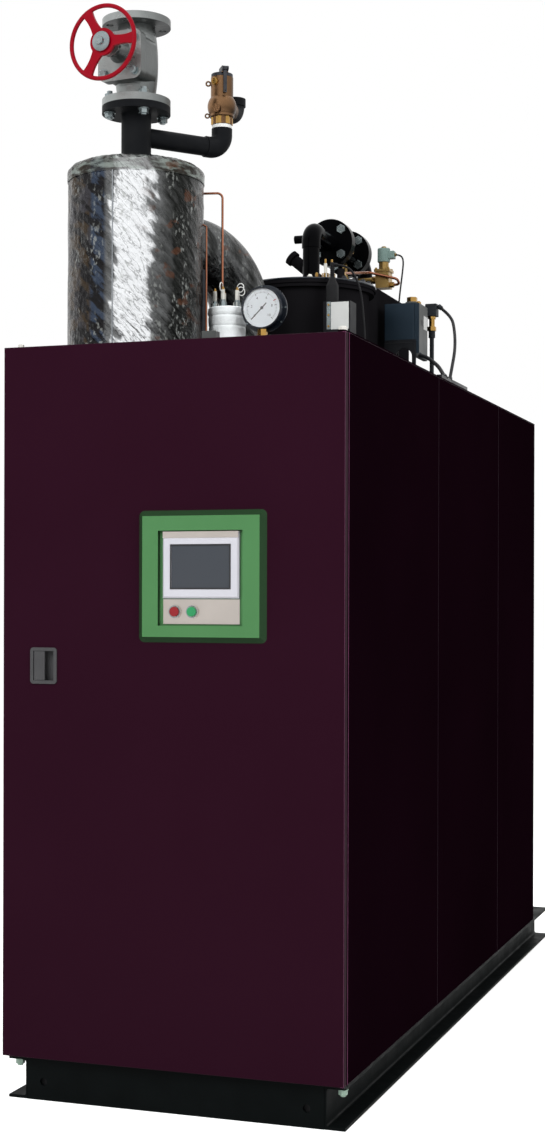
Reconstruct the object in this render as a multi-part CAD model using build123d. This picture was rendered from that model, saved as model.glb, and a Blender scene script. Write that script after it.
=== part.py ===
from build123d import *
import math
import os

# Industrial steam boiler package on a channel base, in millimetres.
# X runs to the right, Y to the rear and Z up. The origin is on the floor at the middle of the base.

# Cabinet and base
CABINET_W = 850.0
CABINET_D = 2240.0
CABINET_H = 1700.0
SHEET = 1.6
PANEL_RETURN = 25.0
SEAM_GAP = 3.0
FIRST_SEAM = 872.0
SECOND_SEAM = 1646.0
FLOOR_SHEET = 4.5
ROOF_SHEET = 3.2
ROOF_HOLE_GAP = 1.0
CHANNEL_H = 100.0
CHANNEL_FLANGE = 50.0
CHANNEL_WEB = 5.0
CHANNEL_FLANGE_T = 7.5
CHANNEL_FILLET = 6.0
BASE_INSET = 3.0
BASE_SETBACK = 27.0
BASE_REAR_RUN = 280.0
ANCHOR_HOLE_R = 9.0
ANCHOR_HOLE_INSET = 42.0
ANCHOR_HOLE_H = 44.0
ANGLE_LEG = 40.0
ANGLE_T = 3.0
BULKHEAD_SHEET = 2.3
COMPARTMENT_D = 250.0
BODY_SIDE_GAP = 45.0
BODY_FRONT_GAP = 10.0
BODY_REAR_GAP = 80.0
BODY_TOP_GAP = 60.0
BODY_CORNER = 40.0
CUT_OVERRUN = 2.0
HEX_SIDES = 6

# Front door, its pivots and its handle
DOOR_T = 22.0
DOOR_SHEET = 1.6
DOOR_PANEL_GAP = 10.0
DOOR_END_GAP = 1.5
PIVOT_INSET = 11.0
PIVOT_R = 4.0
PIVOT_FIT = 0.3
PIVOT_TAB_HALF = 10.0
PIVOT_GRIP = 8.0
PIVOT_BLOCK_H = 10.0
HANDLE_W = 69.0
HANDLE_H = 86.0
HANDLE_FROM_LEFT = 106.5
HANDLE_FROM_FLOOR = 1038.0
HANDLE_FLANGE_T = 3.0
HANDLE_BOWL_D = 18.0
HANDLE_BOWL_WALL = 2.0
HANDLE_CORNER = 8.0
HANDLE_RIM = 6.0
PADDLE_W_SHARE = 0.56
PADDLE_T = 4.0
PADDLE_PIN_R = 1.5
PADDLE_GAP = 1.0

# Operating panel on the door
SURROUND_LEFT = 352.0
SURROUND_RIGHT = 666.0
SURROUND_BOTTOM = 1096.0
SURROUND_TOP = 1401.0
SURROUND_T = 14.0
SURROUND_BEVEL = 13.0
WINDOW_LEFT = 404.0
WINDOW_RIGHT = 612.0
WINDOW_BOTTOM = 1135.0
WINDOW_TOP = 1354.0
PLATE_T = 2.0
BEZEL_W = 188.0
BEZEL_H = 154.0
BEZEL_T = 9.0
BEZEL_EDGE = 4.0
SCREEN_W = 143.0
SCREEN_H = 106.0
SCREEN_T = 2.0
PLATE_H = 57.0
BUTTON_PITCH = 43.0
BUTTON_FROM_LEFT = 29.5
BUTTON_RING_R = 15.0
BUTTON_RING_T = 5.0
BUTTON_R = 11.0
BUTTON_PROUD = 3.5
BUTTON_BORE_GAP = 0.4
BUTTON_L = 12.0

# Steam separator, crossover duct and riser
SEPARATOR_X = 176.0
SEPARATOR_Y = 378.0
SEPARATOR_R = 174.0
SEPARATOR_H = 500.0
SEPARATOR_EDGE = 12.0
SEPARATOR_CAP_H = 46.0
SEPARATOR_CAP_STEP = 2.0
DUCT_X = 345.0
DUCT_Y = 693.0
DUCT_R = 80.0
DUCT_BEND = 170.0
DUCT_AXIS_H = 318.0
RISER_R = 38.15
RISER_WALL = 5.2
FLANGE_R = 87.5
FLANGE_T = 18.0
FLANGE_PCD = 140.0
FLANGE_HOLE_R = 9.5
FLANGE_BOLTS = 4
JOINT_H = 652.0
BRANCH_H = 580.0
BRANCH_R = 24.3
ELBOW_R = 27.2
ELBOW_BEND = 36.0
ELBOW_REACH = 50.0
SAFETY_X = 338.0
SAFETY_Y = 568.0
SAFETY_SEAT_H = 632.0

# Steam stop valve, turned a little to the left
VALVE_TURN = 6.0
VALVE_FACE_TO_FACE = 222.0
VALVE_BORE_R = 32.5
VALVE_NECK_R = 47.0
VALVE_BULB_R = 55.5
CHEST_W = 116.0
CHEST_H = 114.0
CHEST_REACH = 74.0
CHEST_CORNER = 20.0
BONNET_W = 124.0
BONNET_H = 124.0
BONNET_T = 13.0
BONNET_CONE_R = 30.0
BONNET_CONE_TOP_R = 17.0
BONNET_CONE_L = 34.0
YOKE_L = 30.0
STEM_RISE = 10.0
GLAND_R = 13.0
GLAND_HEX_AF = 44.0
GLAND_HEX_T = 9.0
STEM_R = 7.0
STEM_FIT = 0.3
WHEEL_REACH = 168.0
WHEEL_R = 95.0
WHEEL_RIM_R = 5.5
WHEEL_DISC_R = 34.0
HUB_R = 17.0
HUB_T = 16.0
SPOKE_W = 21.0
SPOKE_END_W = 31.0
SPOKE_T = 8.0
SPOKES = 3
STEM_NUT_AF = 19.0
STEM_NUT_T = 8.0

# Bronze safety valve and its outlet
SEAL_H = 10.0
SEAL_R = 25.0
HEX_AF = 50.0
HEX_H = 21.0
COLLAR_RING_R = 32.5
COLLAR_RING_H = 6.0
SAFETY_BALL_R = 38.0
SAFETY_NECK_R = 22.0
BALL_RISE = 58.0
SAFETY_BONNET_R = 29.5
SAFETY_BONNET_H = 134.0
SAFETY_CAP_H = 9.0
SAFETY_CAP_STEP = 2.0
BOSS_R = 11.0
BOSS_REACH = 44.0
BOSS_DROP = 12.0
SAFETY_OUT_R = 27.0
SAFETY_OUT_REACH = 52.0
SAFETY_OUT_TURN = 90.0
OUTLET_R = 26.0
OUTLET_WALL = 4.0
OUTLET_BEND = 32.0
OUTLET_RUN = 45.0
OUTLET_RISE = 46.0
OUTLET_COLLAR_R = 29.0
OUTLET_COLLAR_H = 20.0
LEVER_W = 9.0
LEVER_T = 4.0
LEVER_DROP = 63.0
LEVER_RISE = 8.0
LEVER_HOLE_R = 1.6
LEVER_HOLE_RISE = 5.0
LEVER_GAP = 3.0
LEVER_SIDE_GAP = 1.0
LEVER_CHEEK = 3.0
LEVER_PIN_R = 2.5
LEVER_EAR_WALL = 3.5
LEVER_TURN = 34.0

# Level electrode pot, its tubes and the pressure gauge
POT_X = 382.0
POT_Y = 495.0
POT_R = 48.5
POT_H = 147.0
POT_RIM_H = 18.0
POT_RIM_STEP = 2.5
ELECTRODE_RING_R = 32.0
ELECTRODES = 5
ELECTRODE_R = 5.0
ELECTRODE_H = 44.0
ELECTRODE_HEX_AF = 17.0
ELECTRODE_HEX_H = 12.0
TUBE_R = 3.0
TUBE_BEND = 14.0
TUBE_H = 446.0
TUBE_INSET = 14.0
TUBE_TURN = 38.0
GAUGE_X = 493.0
GAUGE_Y = 442.0
GAUGE_H = 136.0
GAUGE_R = 53.0
GAUGE_DEPTH = 42.0
GAUGE_WALL = 3.0
GAUGE_FLANGE_R = 61.0
GAUGE_FLANGE_T = 4.0
GAUGE_FLANGE_BACK = 26.0
GAUGE_DIAL_BACK = 7.0
GAUGE_DIAL_T = 1.5
GLASS_T = 3.0
GLASS_BACK = 1.5
POINTER_L = 40.0
POINTER_TAIL = 17.0
POINTER_W = 2.6
POINTER_T = 0.8
POINTER_HUB_R = 4.0
POINTER_ANGLE = 225.0
FITTING_R = 11.0
FITTING_H = 20.0
STAND_R = 10.0

# Burner drum with the air duct behind it, and the gas train on its lid
DRUM_X = 425.0
DRUM_Y = 1032.0
DRUM_R = 175.0
DRUM_RIM_R = 190.0
DRUM_RIM_T = 10.0
LID_R = 194.5
LID_T = 14.0
LID_TOP_H = 285.0
AIR_HALF_W = 150.0
AIR_REAR = 1598.0
AIR_H = 312.0
AIR_EDGE = 40.0
AIR_LID_GAP = 6.0
GAS_R = 24.3
GAS_X = 419.0
GAS_RISER_Y = 1083.0
GAS_WALL = 3.5
GAS_BEND = 57.0
GAS_AXIS_H = 462.0
GAS_FLANGE_R = 70.0
GAS_FLANGE_T = 16.0
GAS_FLANGE_PCD = 105.0
GAS_FLANGE_1_Y = 1261.0
GAS_VALVE_L = 180.0
GAS_VALVE_R = 40.0
GAS_VALVE_STEM_H = 76.0
GAS_DROP_Y = 1640.0
GAS_PLUG_Y = 1193.0
GAS_PLUG_R = 12.0
GAS_PLUG_REACH = 86.0
SIGHT_R = 17.0
SIGHT_L = 166.0
SIGHT_CAP_R = 22.0
SIGHT_CAP_L = 14.0
SIGHT_X = 476.0
SIGHT_Y = 1139.0
SIGHT_LEAN = 50.0

# Pilot gas solenoid and its copper tube
SOLENOID_X = 542.0
SOLENOID_Y = 1421.0
SOLENOID_COIL_R = 18.0
SOLENOID_COIL_TOP = 466.0
SOLENOID_COIL_BOTTOM = 424.0
SOLENOID_NECK_R = 15.0
SOLENOID_BODY_W = 42.0
SOLENOID_BODY_H = 56.0
SOLENOID_BODY_TOP = 400.0
PLUG_W = 22.0
PLUG_L = 18.0
NIPPLE_R = 8.0
NIPPLE_BEND = 20.0
PILOT_X = 506.0
PILOT_Y = 1091.0
PILOT_BOSS_R = 11.0
PILOT_RISE = 52.0
PILOT_TUBE_R = 4.0
PILOT_TUBE_BEND = 12.0
PILOT_LOOP_FRONT = 41.0
PILOT_LOOP_SIDE = 50.0
PILOT_LOOP_RISE = 34.0
PILOT_LOOP_DEPTH = 29.0
PILOT_LOOP_MID = 12.0

# Control motor, bracket, pressure switch and ignition transformer
MOTOR_LEFT = 600.0
MOTOR_RIGHT = 689.0
MOTOR_FRONT = 1220.0
MOTOR_D = 106.0
MOTOR_TOP = 262.0
MOTOR_BOTTOM = 156.0
MOTOR_SIDE_T = 14.0
MOTOR_SIDE_DROP = 40.0
MOTOR_EDGE = 3.0
COLLAR_R = 19.0
COLLAR_H = 10.0
SHAFT_HEX_AF = 24.0
SHAFT_HEX_H = 14.0
BRACKET_T = 6.0
BRACKET_FOOT = 50.0
ARCH_HALF_W = 24.0
ARCH_X = 659.0
ARCH_TOP = 130.0
SWITCH_X = 700.0
SWITCH_Y = 1392.0
SWITCH_TOP = 283.0
SWITCH_W = 34.0
SWITCH_BODY_H = 36.0
SWITCH_BRASS_R = 8.0
SWITCH_BRASS_H = 44.0
POST_R = 6.5
POST_SLEEVE_R = 10.0
POST_SLEEVE_H = 20.0
TRANSFORMER_LEFT = 540.0
TRANSFORMER_RIGHT = 616.0
TRANSFORMER_FRONT = 815.0
TRANSFORMER_D = 64.0
TRANSFORMER_H = 208.0
TRANSFORMER_EDGE = 4.0
BOOT_X = 556.0
BOOT_Y = 848.0
BOOT_R = 17.0
BOOT_TOP_R = 8.0
BOOT_CUP_H = 34.0
BOOT_H = 112.0
IGNITER_RING_SHARE = 0.92
IGNITER_R = 4.5
IGNITER_H = 40.0
IGNITER_TIP_H = 12.0
IGNITER_HEX_AF = 18.0
IGNITER_HEX_H = 12.0
IGNITER_ANGLES = (-56.0, -50.0)

# Cables and the trunking that gathers them
CABLE_R = 4.5
MOTOR_CABLE_R = 5.5
LEAD_R = 3.0
PILOT_CABLE_R = 2.5
STRIP_W = 14.0
STRIP_H = 12.0
STRIP_FROM_LEFT = 830.0
STRIP_START = 930.0
STRIP_END = 1240.0
GLAND_WALL = 2.5
GLAND_NUT_L = 12.0
ARC_SHARE = 0.45

# Routes of the cables, from the piece that each leaves to the gland where it ends:
# distances from the cabinet's left side and from the door's front face, and heights above the roof
MOTOR_CABLE_ROUTE = (
    (703, 1233, 110),
    (737, 1187, 97),
    (772, 1129, 73),
    (805, 1065, 48),
    (833, 1001, 16),
)
SWITCH_CABLE_ROUTE = (
    (729, 1392, 270),
    (745, 1387, 256),
    (760, 1373, 241),
    (774, 1349, 223),
    (787, 1311, 198),
    (803, 1258, 158),
    (818, 1191, 111),
    (829, 1118, 64),
    (837, 1053, 16),
)
PILOT_CABLE_ROUTE = (
    (581, 1421, 445),
    (593, 1420, 443),
    (602, 1417, 434),
    (606, 1411, 419),
    (607, 1402, 398),
    (605, 1393, 360),
    (601, 1385, 310),
    (598, 1379, 250),
    (598, 1377, 185),
    (599, 1375, 120),
    (599, 1374, 62),
    (598, 1374, 12),
)
IGNITER_LEAD_ROUTE = (
    (569, 848, 312),
    (595, 850, 308),
    (615, 852, 289),
    (629, 855, 258),
    (636, 858, 224),
    (640, 860, 185),
    (644, 861, 130),
    (647, 861, 70),
    (647, 862, 12),
)

# Rear connections and the flue collar
FLUE_X = 425.0
FLUE_Y = 1900.0
FLUE_R = 125.0
FLUE_WALL = 3.2
FLUE_H = 50.0
STUB_R = 24.3
STUB_WALL = 4.0
STUB_REACH = 70.0
STUB_SPREAD = 200.0
FEED_H = 420.0
BLOWDOWN_H = 180.0

# Planes of the cabinet worked out from the sizes above
LEFT = -CABINET_W / 2
RIGHT = CABINET_W / 2
FLOOR = CHANNEL_H
ROOF = CHANNEL_H + CABINET_H
ROOF_UNDER = ROOF - ROOF_SHEET
FLOOR_TOP = FLOOR + FLOOR_SHEET
FRONT_PROUD = SURROUND_T
OVERALL_D = FRONT_PROUD + CABINET_D + BASE_REAR_RUN
FRONT = FRONT_PROUD - OVERALL_D / 2
REAR = FRONT + CABINET_D
BASE_FRONT = FRONT + BASE_SETBACK
BASE_REAR = FRONT + CABINET_D + BASE_REAR_RUN
PANEL_FRONT = FRONT + DOOR_T + DOOR_PANEL_GAP
BULKHEAD_Y = FRONT + COMPARTMENT_D
BODY_TOP = ROOF - BODY_TOP_GAP


def across(distance):
    """X of a place given from the cabinet's left side."""
    return LEFT + distance


def back(distance):
    """Y of a place given from the door's front face."""
    return FRONT + distance


def over(height):
    """Z of a place given above the roof."""
    return ROOF + height


def placed(route):
    """A cable's route as points of the part."""
    return [(across(x), back(y), over(z)) for x, y, z in route]


def save(name, shape):
    export_step(shape, "parts/" + name + ".step")


def block(x0, x1, y0, y1, z0, z1):
    centre = ((x0 + x1) / 2, (y0 + y1) / 2, (z0 + z1) / 2)
    return Pos(*centre) * Box(x1 - x0, y1 - y0, z1 - z0)


def rod(x, y, z0, z1, radius):
    return Pos(x, y, (z0 + z1) / 2) * Cylinder(radius, z1 - z0)


def rod_y(x, z, y0, y1, radius):
    return Pos(x, (y0 + y1) / 2, z) * Rot(90, 0, 0) * Cylinder(radius, y1 - y0)


def rod_x(y, z, x0, x1, radius):
    return Pos((x0 + x1) / 2, y, z) * Rot(0, 90, 0) * Cylinder(radius, x1 - x0)


def hexagon(flats, height):
    """A hexagonal prism standing on the XY plane."""
    return extrude(RegularPolygon(flats / 2, HEX_SIDES, major_radius=False), height)


def flange(radius, thickness, pcd, bolts, hole_r, bore_r):
    """A pipe flange standing on the XY plane, its bolt holes astride the axes."""
    disc = Pos(0, 0, thickness / 2) * Cylinder(radius, thickness)
    disc -= Pos(0, 0, thickness / 2) * Cylinder(bore_r, thickness + CUT_OVERRUN)
    for index in range(bolts):
        angle = (index + 0.5) * 360 / bolts
        hole = Cylinder(hole_r, thickness + CUT_OVERRUN)
        disc -= Rot(0, 0, angle) * Pos(pcd / 2, 0, thickness / 2) * hole
    return disc


def pipe(points, radius, bend):
    """A pipe along straight runs joined by arcs of one radius."""
    path = FilletPolyline(*points, radius=bend)
    return sweep(Plane(path @ 0, z_dir=path % 0) * Circle(radius), path=path)


def elbow(before, corner, after):
    """A threaded elbow over a pipe's corner, reaching back towards the point before it."""
    heading = (Vector(*before) - Vector(*corner)).normalized()
    start = Vector(*corner) + heading * ELBOW_REACH
    return pipe((tuple(start), corner, after), ELBOW_R, ELBOW_BEND)


def cable(route, radius):
    """A cable along straight runs, each corner's arc as large as its two runs allow."""
    points = placed(route)
    radii = []
    for before, corner, after in zip(points, points[1:], points[2:]):
        arriving = Vector(*corner) - Vector(*before)
        leaving = Vector(*after) - Vector(*corner)
        turn = math.radians(arriving.get_angle(leaving))
        shorter = min(arriving.length, leaving.length)
        radii.append(ARC_SHARE * shorter / math.tan(turn / 2))
    path = FilletPolyline(*points, radius=radii)
    tube = sweep(Plane(path @ 0, z_dir=path % 0) * Circle(radius), path=path)
    print("cable length", round(path.length, 1), "smallest radius", round(min(radii), 1))
    return tube


def gland_behind(route, radius):
    """The gland that a cable leaves at the first point of its route."""
    start, after = placed(route)[:2]
    heading = Vector(*after) - Vector(*start)
    return extrude(Plane(start, z_dir=heading) * Circle(radius + GLAND_WALL), -GLAND_NUT_L)


def gland_down(route, radius, seat_z):
    """The gland that a cable enters at the last point of its route, long enough to reach its seat."""
    before, end = placed(route)[-2:]
    heading = (Vector(*end) - Vector(*before)).normalized()
    gland_l = (seat_z - end[2]) / heading.Z
    return extrude(Plane(end, z_dir=heading) * Circle(radius + GLAND_WALL), gland_l)


os.makedirs("parts", exist_ok=True)

# Channel base
INNER_HALF = CABINET_W / 2 - BASE_INSET - CHANNEL_FLANGE


def channel(length):
    """A rolled channel along Y, its web upright at X = 0 and its flanges towards +X."""
    solid = block(0, CHANNEL_FLANGE, 0, length, 0, CHANNEL_H)
    hollow = block(
        CHANNEL_WEB,
        CHANNEL_FLANGE + CUT_OVERRUN,
        -CUT_OVERRUN,
        length + CUT_OVERRUN,
        CHANNEL_FLANGE_T,
        CHANNEL_H - CHANNEL_FLANGE_T,
    )
    hollow = fillet(hollow.edges().filter_by(Axis.Y).group_by(Axis.X)[0], CHANNEL_FILLET)
    return solid - hollow


side_channel = Pos(INNER_HALF, BASE_FRONT, 0) * channel(BASE_REAR - BASE_FRONT)
save("base_channel_right", side_channel)
save("base_channel_left", mirror(side_channel, about=Plane.YZ))
cross_front = Pos(INNER_HALF, BASE_FRONT, 0) * Rot(0, 0, 90) * channel(2 * INNER_HALF)
for side in (-1, 1):
    hole_x = side * (INNER_HALF - ANCHOR_HOLE_INSET)
    hole_y0 = BASE_FRONT - CUT_OVERRUN
    cross_front -= rod_y(hole_x, ANCHOR_HOLE_H, hole_y0, BASE_FRONT + CHANNEL_FLANGE, ANCHOR_HOLE_R)
save("base_channel_front", cross_front)
save("base_channel_rear", Pos(-INNER_HALF, BASE_REAR, 0) * Rot(0, 0, -90) * channel(2 * INNER_HALF))

# Cabinet: floor and roof with the door's pivots, folded panels, door posts and bulkhead
PIVOT_X = RIGHT - PIVOT_INSET
PIVOT_Y = FRONT + PIVOT_INSET
DOOR_BOTTOM = FLOOR_TOP + DOOR_END_GAP
DOOR_TOP = ROOF_UNDER - DOOR_END_GAP


def pivot_tab(z0, z1):
    """The rounded tab that reaches forward over one end of the door."""
    tab = block(PIVOT_X - PIVOT_TAB_HALF, PIVOT_X + PIVOT_TAB_HALF, PIVOT_Y, PANEL_FRONT, z0, z1)
    return tab + rod(PIVOT_X, PIVOT_Y, z0, z1, PIVOT_TAB_HALF)


floor_plate = block(LEFT, RIGHT, PANEL_FRONT, REAR, FLOOR, FLOOR_TOP)
floor_plate += pivot_tab(FLOOR, FLOOR_TOP)
floor_plate += rod(PIVOT_X, PIVOT_Y, FLOOR_TOP, FLOOR_TOP + DOOR_END_GAP + PIVOT_GRIP, PIVOT_R)
save("cabinet_floor", floor_plate)

roof_panel = block(LEFT, RIGHT, PANEL_FRONT, REAR, ROOF_UNDER, ROOF)
roof_panel += pivot_tab(ROOF_UNDER, ROOF)
roof_panel += rod(PIVOT_X, PIVOT_Y, ROOF_UNDER - DOOR_END_GAP - PIVOT_GRIP, ROOF_UNDER, PIVOT_R)
for hole_x, hole_y, hole_r in (
    (DRUM_X, DRUM_Y, DRUM_R),
    (DUCT_X, DUCT_Y, DUCT_R),
    (GAS_X, GAS_DROP_Y, GAS_R),
    (FLUE_X, FLUE_Y, FLUE_R),
):
    clear_r = hole_r + ROOF_HOLE_GAP
    roof_panel -= rod(across(hole_x), back(hole_y), ROOF_UNDER - CUT_OVERRUN, ROOF + CUT_OVERRUN, clear_r)
for route, radius in ((PILOT_CABLE_ROUTE, PILOT_CABLE_R), (IGNITER_LEAD_ROUTE, LEAD_R)):
    end_x, end_y, end_z = placed(route)[-1]
    roof_panel += rod(end_x, end_y, ROOF_UNDER, end_z, radius + GLAND_WALL)
save("roof_panel", roof_panel)

PANEL_BOTTOM = FLOOR_TOP
PANEL_TOP = ROOF_UNDER


def folded_panel(y0, y1):
    """A right-hand side panel: a sheet with all four edges folded inwards."""
    tray = block(RIGHT - PANEL_RETURN, RIGHT, y0, y1, PANEL_BOTTOM, PANEL_TOP)
    hollow = block(
        RIGHT - PANEL_RETURN - CUT_OVERRUN,
        RIGHT - SHEET,
        y0 + SHEET,
        y1 - SHEET,
        PANEL_BOTTOM + SHEET,
        PANEL_TOP - SHEET,
    )
    return tray - hollow


panel_ends = (
    ("front", PANEL_FRONT, back(FIRST_SEAM) - SEAM_GAP / 2),
    ("middle", back(FIRST_SEAM) + SEAM_GAP / 2, back(SECOND_SEAM) - SEAM_GAP / 2),
    ("rear", back(SECOND_SEAM) + SEAM_GAP / 2, REAR),
)
for place, y0, y1 in panel_ends:
    panel = folded_panel(y0, y1)
    save("side_panel_right_" + place, panel)
    save("side_panel_left_" + place, mirror(panel, about=Plane.YZ))

REAR_HALF = CABINET_W / 2 - PANEL_RETURN
rear_panel = block(-REAR_HALF, REAR_HALF, REAR - PANEL_RETURN, REAR, PANEL_BOTTOM, PANEL_TOP)
rear_panel -= block(
    -REAR_HALF + SHEET,
    REAR_HALF - SHEET,
    REAR - PANEL_RETURN - CUT_OVERRUN,
    REAR - SHEET,
    PANEL_BOTTOM + SHEET,
    PANEL_TOP - SHEET,
)
STUBS = ((-STUB_SPREAD / 2, FEED_H), (STUB_SPREAD / 2, BLOWDOWN_H))
for stub_x, stub_z in STUBS:
    clear_r = STUB_R + ROOF_HOLE_GAP
    rear_panel -= rod_y(stub_x, stub_z, REAR - PANEL_RETURN - CUT_OVERRUN, REAR + CUT_OVERRUN, clear_r)
save("rear_panel", rear_panel)

POST_FRONT = PANEL_FRONT + SHEET
POST_OUTER = RIGHT - SHEET
POST_BOTTOM = PANEL_BOTTOM + SHEET
POST_TOP = PANEL_TOP - SHEET
door_frame = block(-POST_OUTER, POST_OUTER, POST_FRONT, POST_FRONT + ANGLE_LEG, POST_BOTTOM, POST_TOP)
door_frame -= block(
    -POST_OUTER + ANGLE_T,
    POST_OUTER - ANGLE_T,
    POST_FRONT + ANGLE_T,
    POST_FRONT + ANGLE_LEG + CUT_OVERRUN,
    POST_BOTTOM - CUT_OVERRUN,
    POST_TOP - ANGLE_T,
)
door_frame -= block(
    -POST_OUTER + ANGLE_LEG,
    POST_OUTER - ANGLE_LEG,
    POST_FRONT - CUT_OVERRUN,
    POST_FRONT + ANGLE_T + CUT_OVERRUN,
    POST_BOTTOM - CUT_OVERRUN,
    POST_TOP - ANGLE_LEG,
)
save("door_frame", door_frame)
bulkhead = block(-POST_OUTER, POST_OUTER, BULKHEAD_Y, BULKHEAD_Y + BULKHEAD_SHEET, POST_BOTTOM, POST_TOP)
save("control_bulkhead", bulkhead)

# Insulated boiler body inside the cabinet, with its two pipe stubs to the rear
body_half = CABINET_W / 2 - BODY_SIDE_GAP
body_front = BULKHEAD_Y + BULKHEAD_SHEET + BODY_FRONT_GAP
boiler_body = block(-body_half, body_half, body_front, REAR - BODY_REAR_GAP, FLOOR_TOP, BODY_TOP)
boiler_body = fillet(boiler_body.edges().filter_by(Axis.Z), BODY_CORNER)
for stub_x, stub_z in STUBS:
    boiler_body += rod_y(stub_x, stub_z, REAR - BODY_REAR_GAP - CUT_OVERRUN, REAR + STUB_REACH, STUB_R)
    boiler_body -= rod_y(
        stub_x, stub_z, REAR - BODY_REAR_GAP, REAR + STUB_REACH + CUT_OVERRUN, STUB_R - STUB_WALL
    )
save("boiler_body", boiler_body)

flue_x = across(FLUE_X)
flue_y = back(FLUE_Y)
flue = rod(flue_x, flue_y, BODY_TOP, over(FLUE_H), FLUE_R)
flue -= rod(flue_x, flue_y, BODY_TOP - CUT_OVERRUN, over(FLUE_H) + CUT_OVERRUN, FLUE_R - FLUE_WALL)
save("flue_collar", flue)

# Steam separator in its foil jacket, and the foil-covered duct that feeds it
sep_x = across(SEPARATOR_X)
sep_y = back(SEPARATOR_Y)
jacket = rod(sep_x, sep_y, ROOF, over(SEPARATOR_H), SEPARATOR_R)
cap_r = SEPARATOR_R + SEPARATOR_CAP_STEP
jacket += rod(sep_x, sep_y, over(SEPARATOR_H - SEPARATOR_CAP_H), over(SEPARATOR_H), cap_r)
jacket = fillet(jacket.edges().filter_by(GeomType.CIRCLE).group_by(Axis.Z)[-1], SEPARATOR_EDGE)

duct_x = across(DUCT_X)
duct_y = back(DUCT_Y)
duct = pipe(
    (
        (duct_x, duct_y, BODY_TOP),
        (duct_x, duct_y, over(DUCT_AXIS_H)),
        (sep_x, sep_y, over(DUCT_AXIS_H)),
    ),
    DUCT_R,
    DUCT_BEND,
)
duct -= jacket
save("separator_jacket", jacket)
save("crossover_duct", duct)

# Steam riser with its flange, and the branch to the safety valve
riser_bore = RISER_R - RISER_WALL
riser = rod(sep_x, sep_y, over(SEPARATOR_H), over(JOINT_H), RISER_R)
safety_x = across(SAFETY_X)
safety_y = back(SAFETY_Y)
branch = (
    (sep_x, sep_y, over(BRANCH_H)),
    (safety_x, safety_y, over(BRANCH_H)),
    (safety_x, safety_y, over(SAFETY_SEAT_H)),
)
riser += pipe(branch, BRANCH_R, ELBOW_BEND)
riser += elbow(*branch)
riser -= rod(sep_x, sep_y, over(SEPARATOR_H), over(JOINT_H) + CUT_OVERRUN, riser_bore)
turned = Pos(sep_x, sep_y, 0) * Rot(0, 0, -VALVE_TURN)
riser_flange = flange(FLANGE_R, FLANGE_T, FLANGE_PCD, FLANGE_BOLTS, FLANGE_HOLE_R, riser_bore)
riser += turned * Pos(0, 0, over(JOINT_H) - FLANGE_T) * riser_flange
save("steam_riser", riser)

# Steam stop valve: flanged body with a front chest, bonnet with yoke and stem, handwheel
valve_z = over(JOINT_H) + VALVE_FACE_TO_FACE / 2
valve_half = VALVE_FACE_TO_FACE / 2
valve_flange = flange(FLANGE_R, FLANGE_T, FLANGE_PCD, FLANGE_BOLTS, FLANGE_HOLE_R, VALVE_BORE_R)
neck_z = valve_half - FLANGE_T
swell = ThreePointArc((VALVE_NECK_R, -neck_z), (VALVE_BULB_R, 0), (VALVE_NECK_R, neck_z))
profile = swell + Polyline((VALVE_NECK_R, neck_z), (0, neck_z), (0, -neck_z), (VALVE_NECK_R, -neck_z))
valve_body = revolve(Plane.XZ * make_face(profile), Axis.Z)
chest_face = Plane.XZ * RectangleRounded(CHEST_W, CHEST_H, CHEST_CORNER)
valve_body += extrude(chest_face, CHEST_REACH)
bonnet_outline = Plane.XZ * RectangleRounded(BONNET_W, BONNET_H, CHEST_CORNER)
bonnet_flange = extrude(bonnet_outline, BONNET_T)
valve_body += Pos(0, -CHEST_REACH + BONNET_T, 0) * bonnet_flange
valve_body += Pos(0, 0, -valve_half) * valve_flange
valve_body += Pos(0, 0, valve_half - FLANGE_T) * valve_flange
valve_body -= Cylinder(VALVE_BORE_R, VALVE_FACE_TO_FACE + CUT_OVERRUN)
at_valve = turned * Pos(0, 0, valve_z)
save("steam_valve_body", at_valve * valve_body)

bonnet_y = -CHEST_REACH
bonnet = Pos(0, bonnet_y, 0) * bonnet_flange
cone_y = bonnet_y - BONNET_T
cone = Rot(90, 0, 0) * Cone(BONNET_CONE_R, BONNET_CONE_TOP_R, BONNET_CONE_L)
bonnet += Pos(0, cone_y - BONNET_CONE_L / 2, STEM_RISE) * cone
yoke_y = cone_y - BONNET_CONE_L
bonnet += Pos(0, yoke_y, STEM_RISE) * Rot(90, 0, 0) * hexagon(GLAND_HEX_AF, GLAND_HEX_T)
bonnet += rod_y(0, STEM_RISE, yoke_y - YOKE_L, yoke_y, GLAND_R)
stem_bore = STEM_R + STEM_FIT
bonnet -= rod_y(0, STEM_RISE, yoke_y - YOKE_L - CUT_OVERRUN, cone_y, stem_bore)
save("steam_valve_bonnet", at_valve * bonnet)

rim = Rot(90, 0, 0) * Torus(WHEEL_R - WHEEL_RIM_R, WHEEL_RIM_R)
wheel = rim + rod_y(0, 0, -HUB_T / 2, HUB_T / 2, HUB_R)
wheel += rod_y(0, 0, -SPOKE_T / 2, SPOKE_T / 2, WHEEL_DISC_R)
spoke_in = WHEEL_DISC_R - SPOKE_T
spoke_out = WHEEL_R - WHEEL_RIM_R
spoke_mid = (spoke_in + spoke_out) / 2
half_end = SPOKE_END_W / 2
left_edge = ThreePointArc((-half_end, spoke_in), (-SPOKE_W / 2, spoke_mid), (-half_end, spoke_out))
right_edge = ThreePointArc((half_end, spoke_out), (SPOKE_W / 2, spoke_mid), (half_end, spoke_in))
spoke_outline = left_edge + Line((-half_end, spoke_out), (half_end, spoke_out))
spoke_outline += right_edge + Line((half_end, spoke_in), (-half_end, spoke_in))
spoke = Pos(0, SPOKE_T / 2, 0) * extrude(Plane.XZ * make_face(spoke_outline), SPOKE_T)
for index in range(SPOKES):
    wheel += Rot(0, 90 + index * 360 / SPOKES, 0) * spoke
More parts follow.
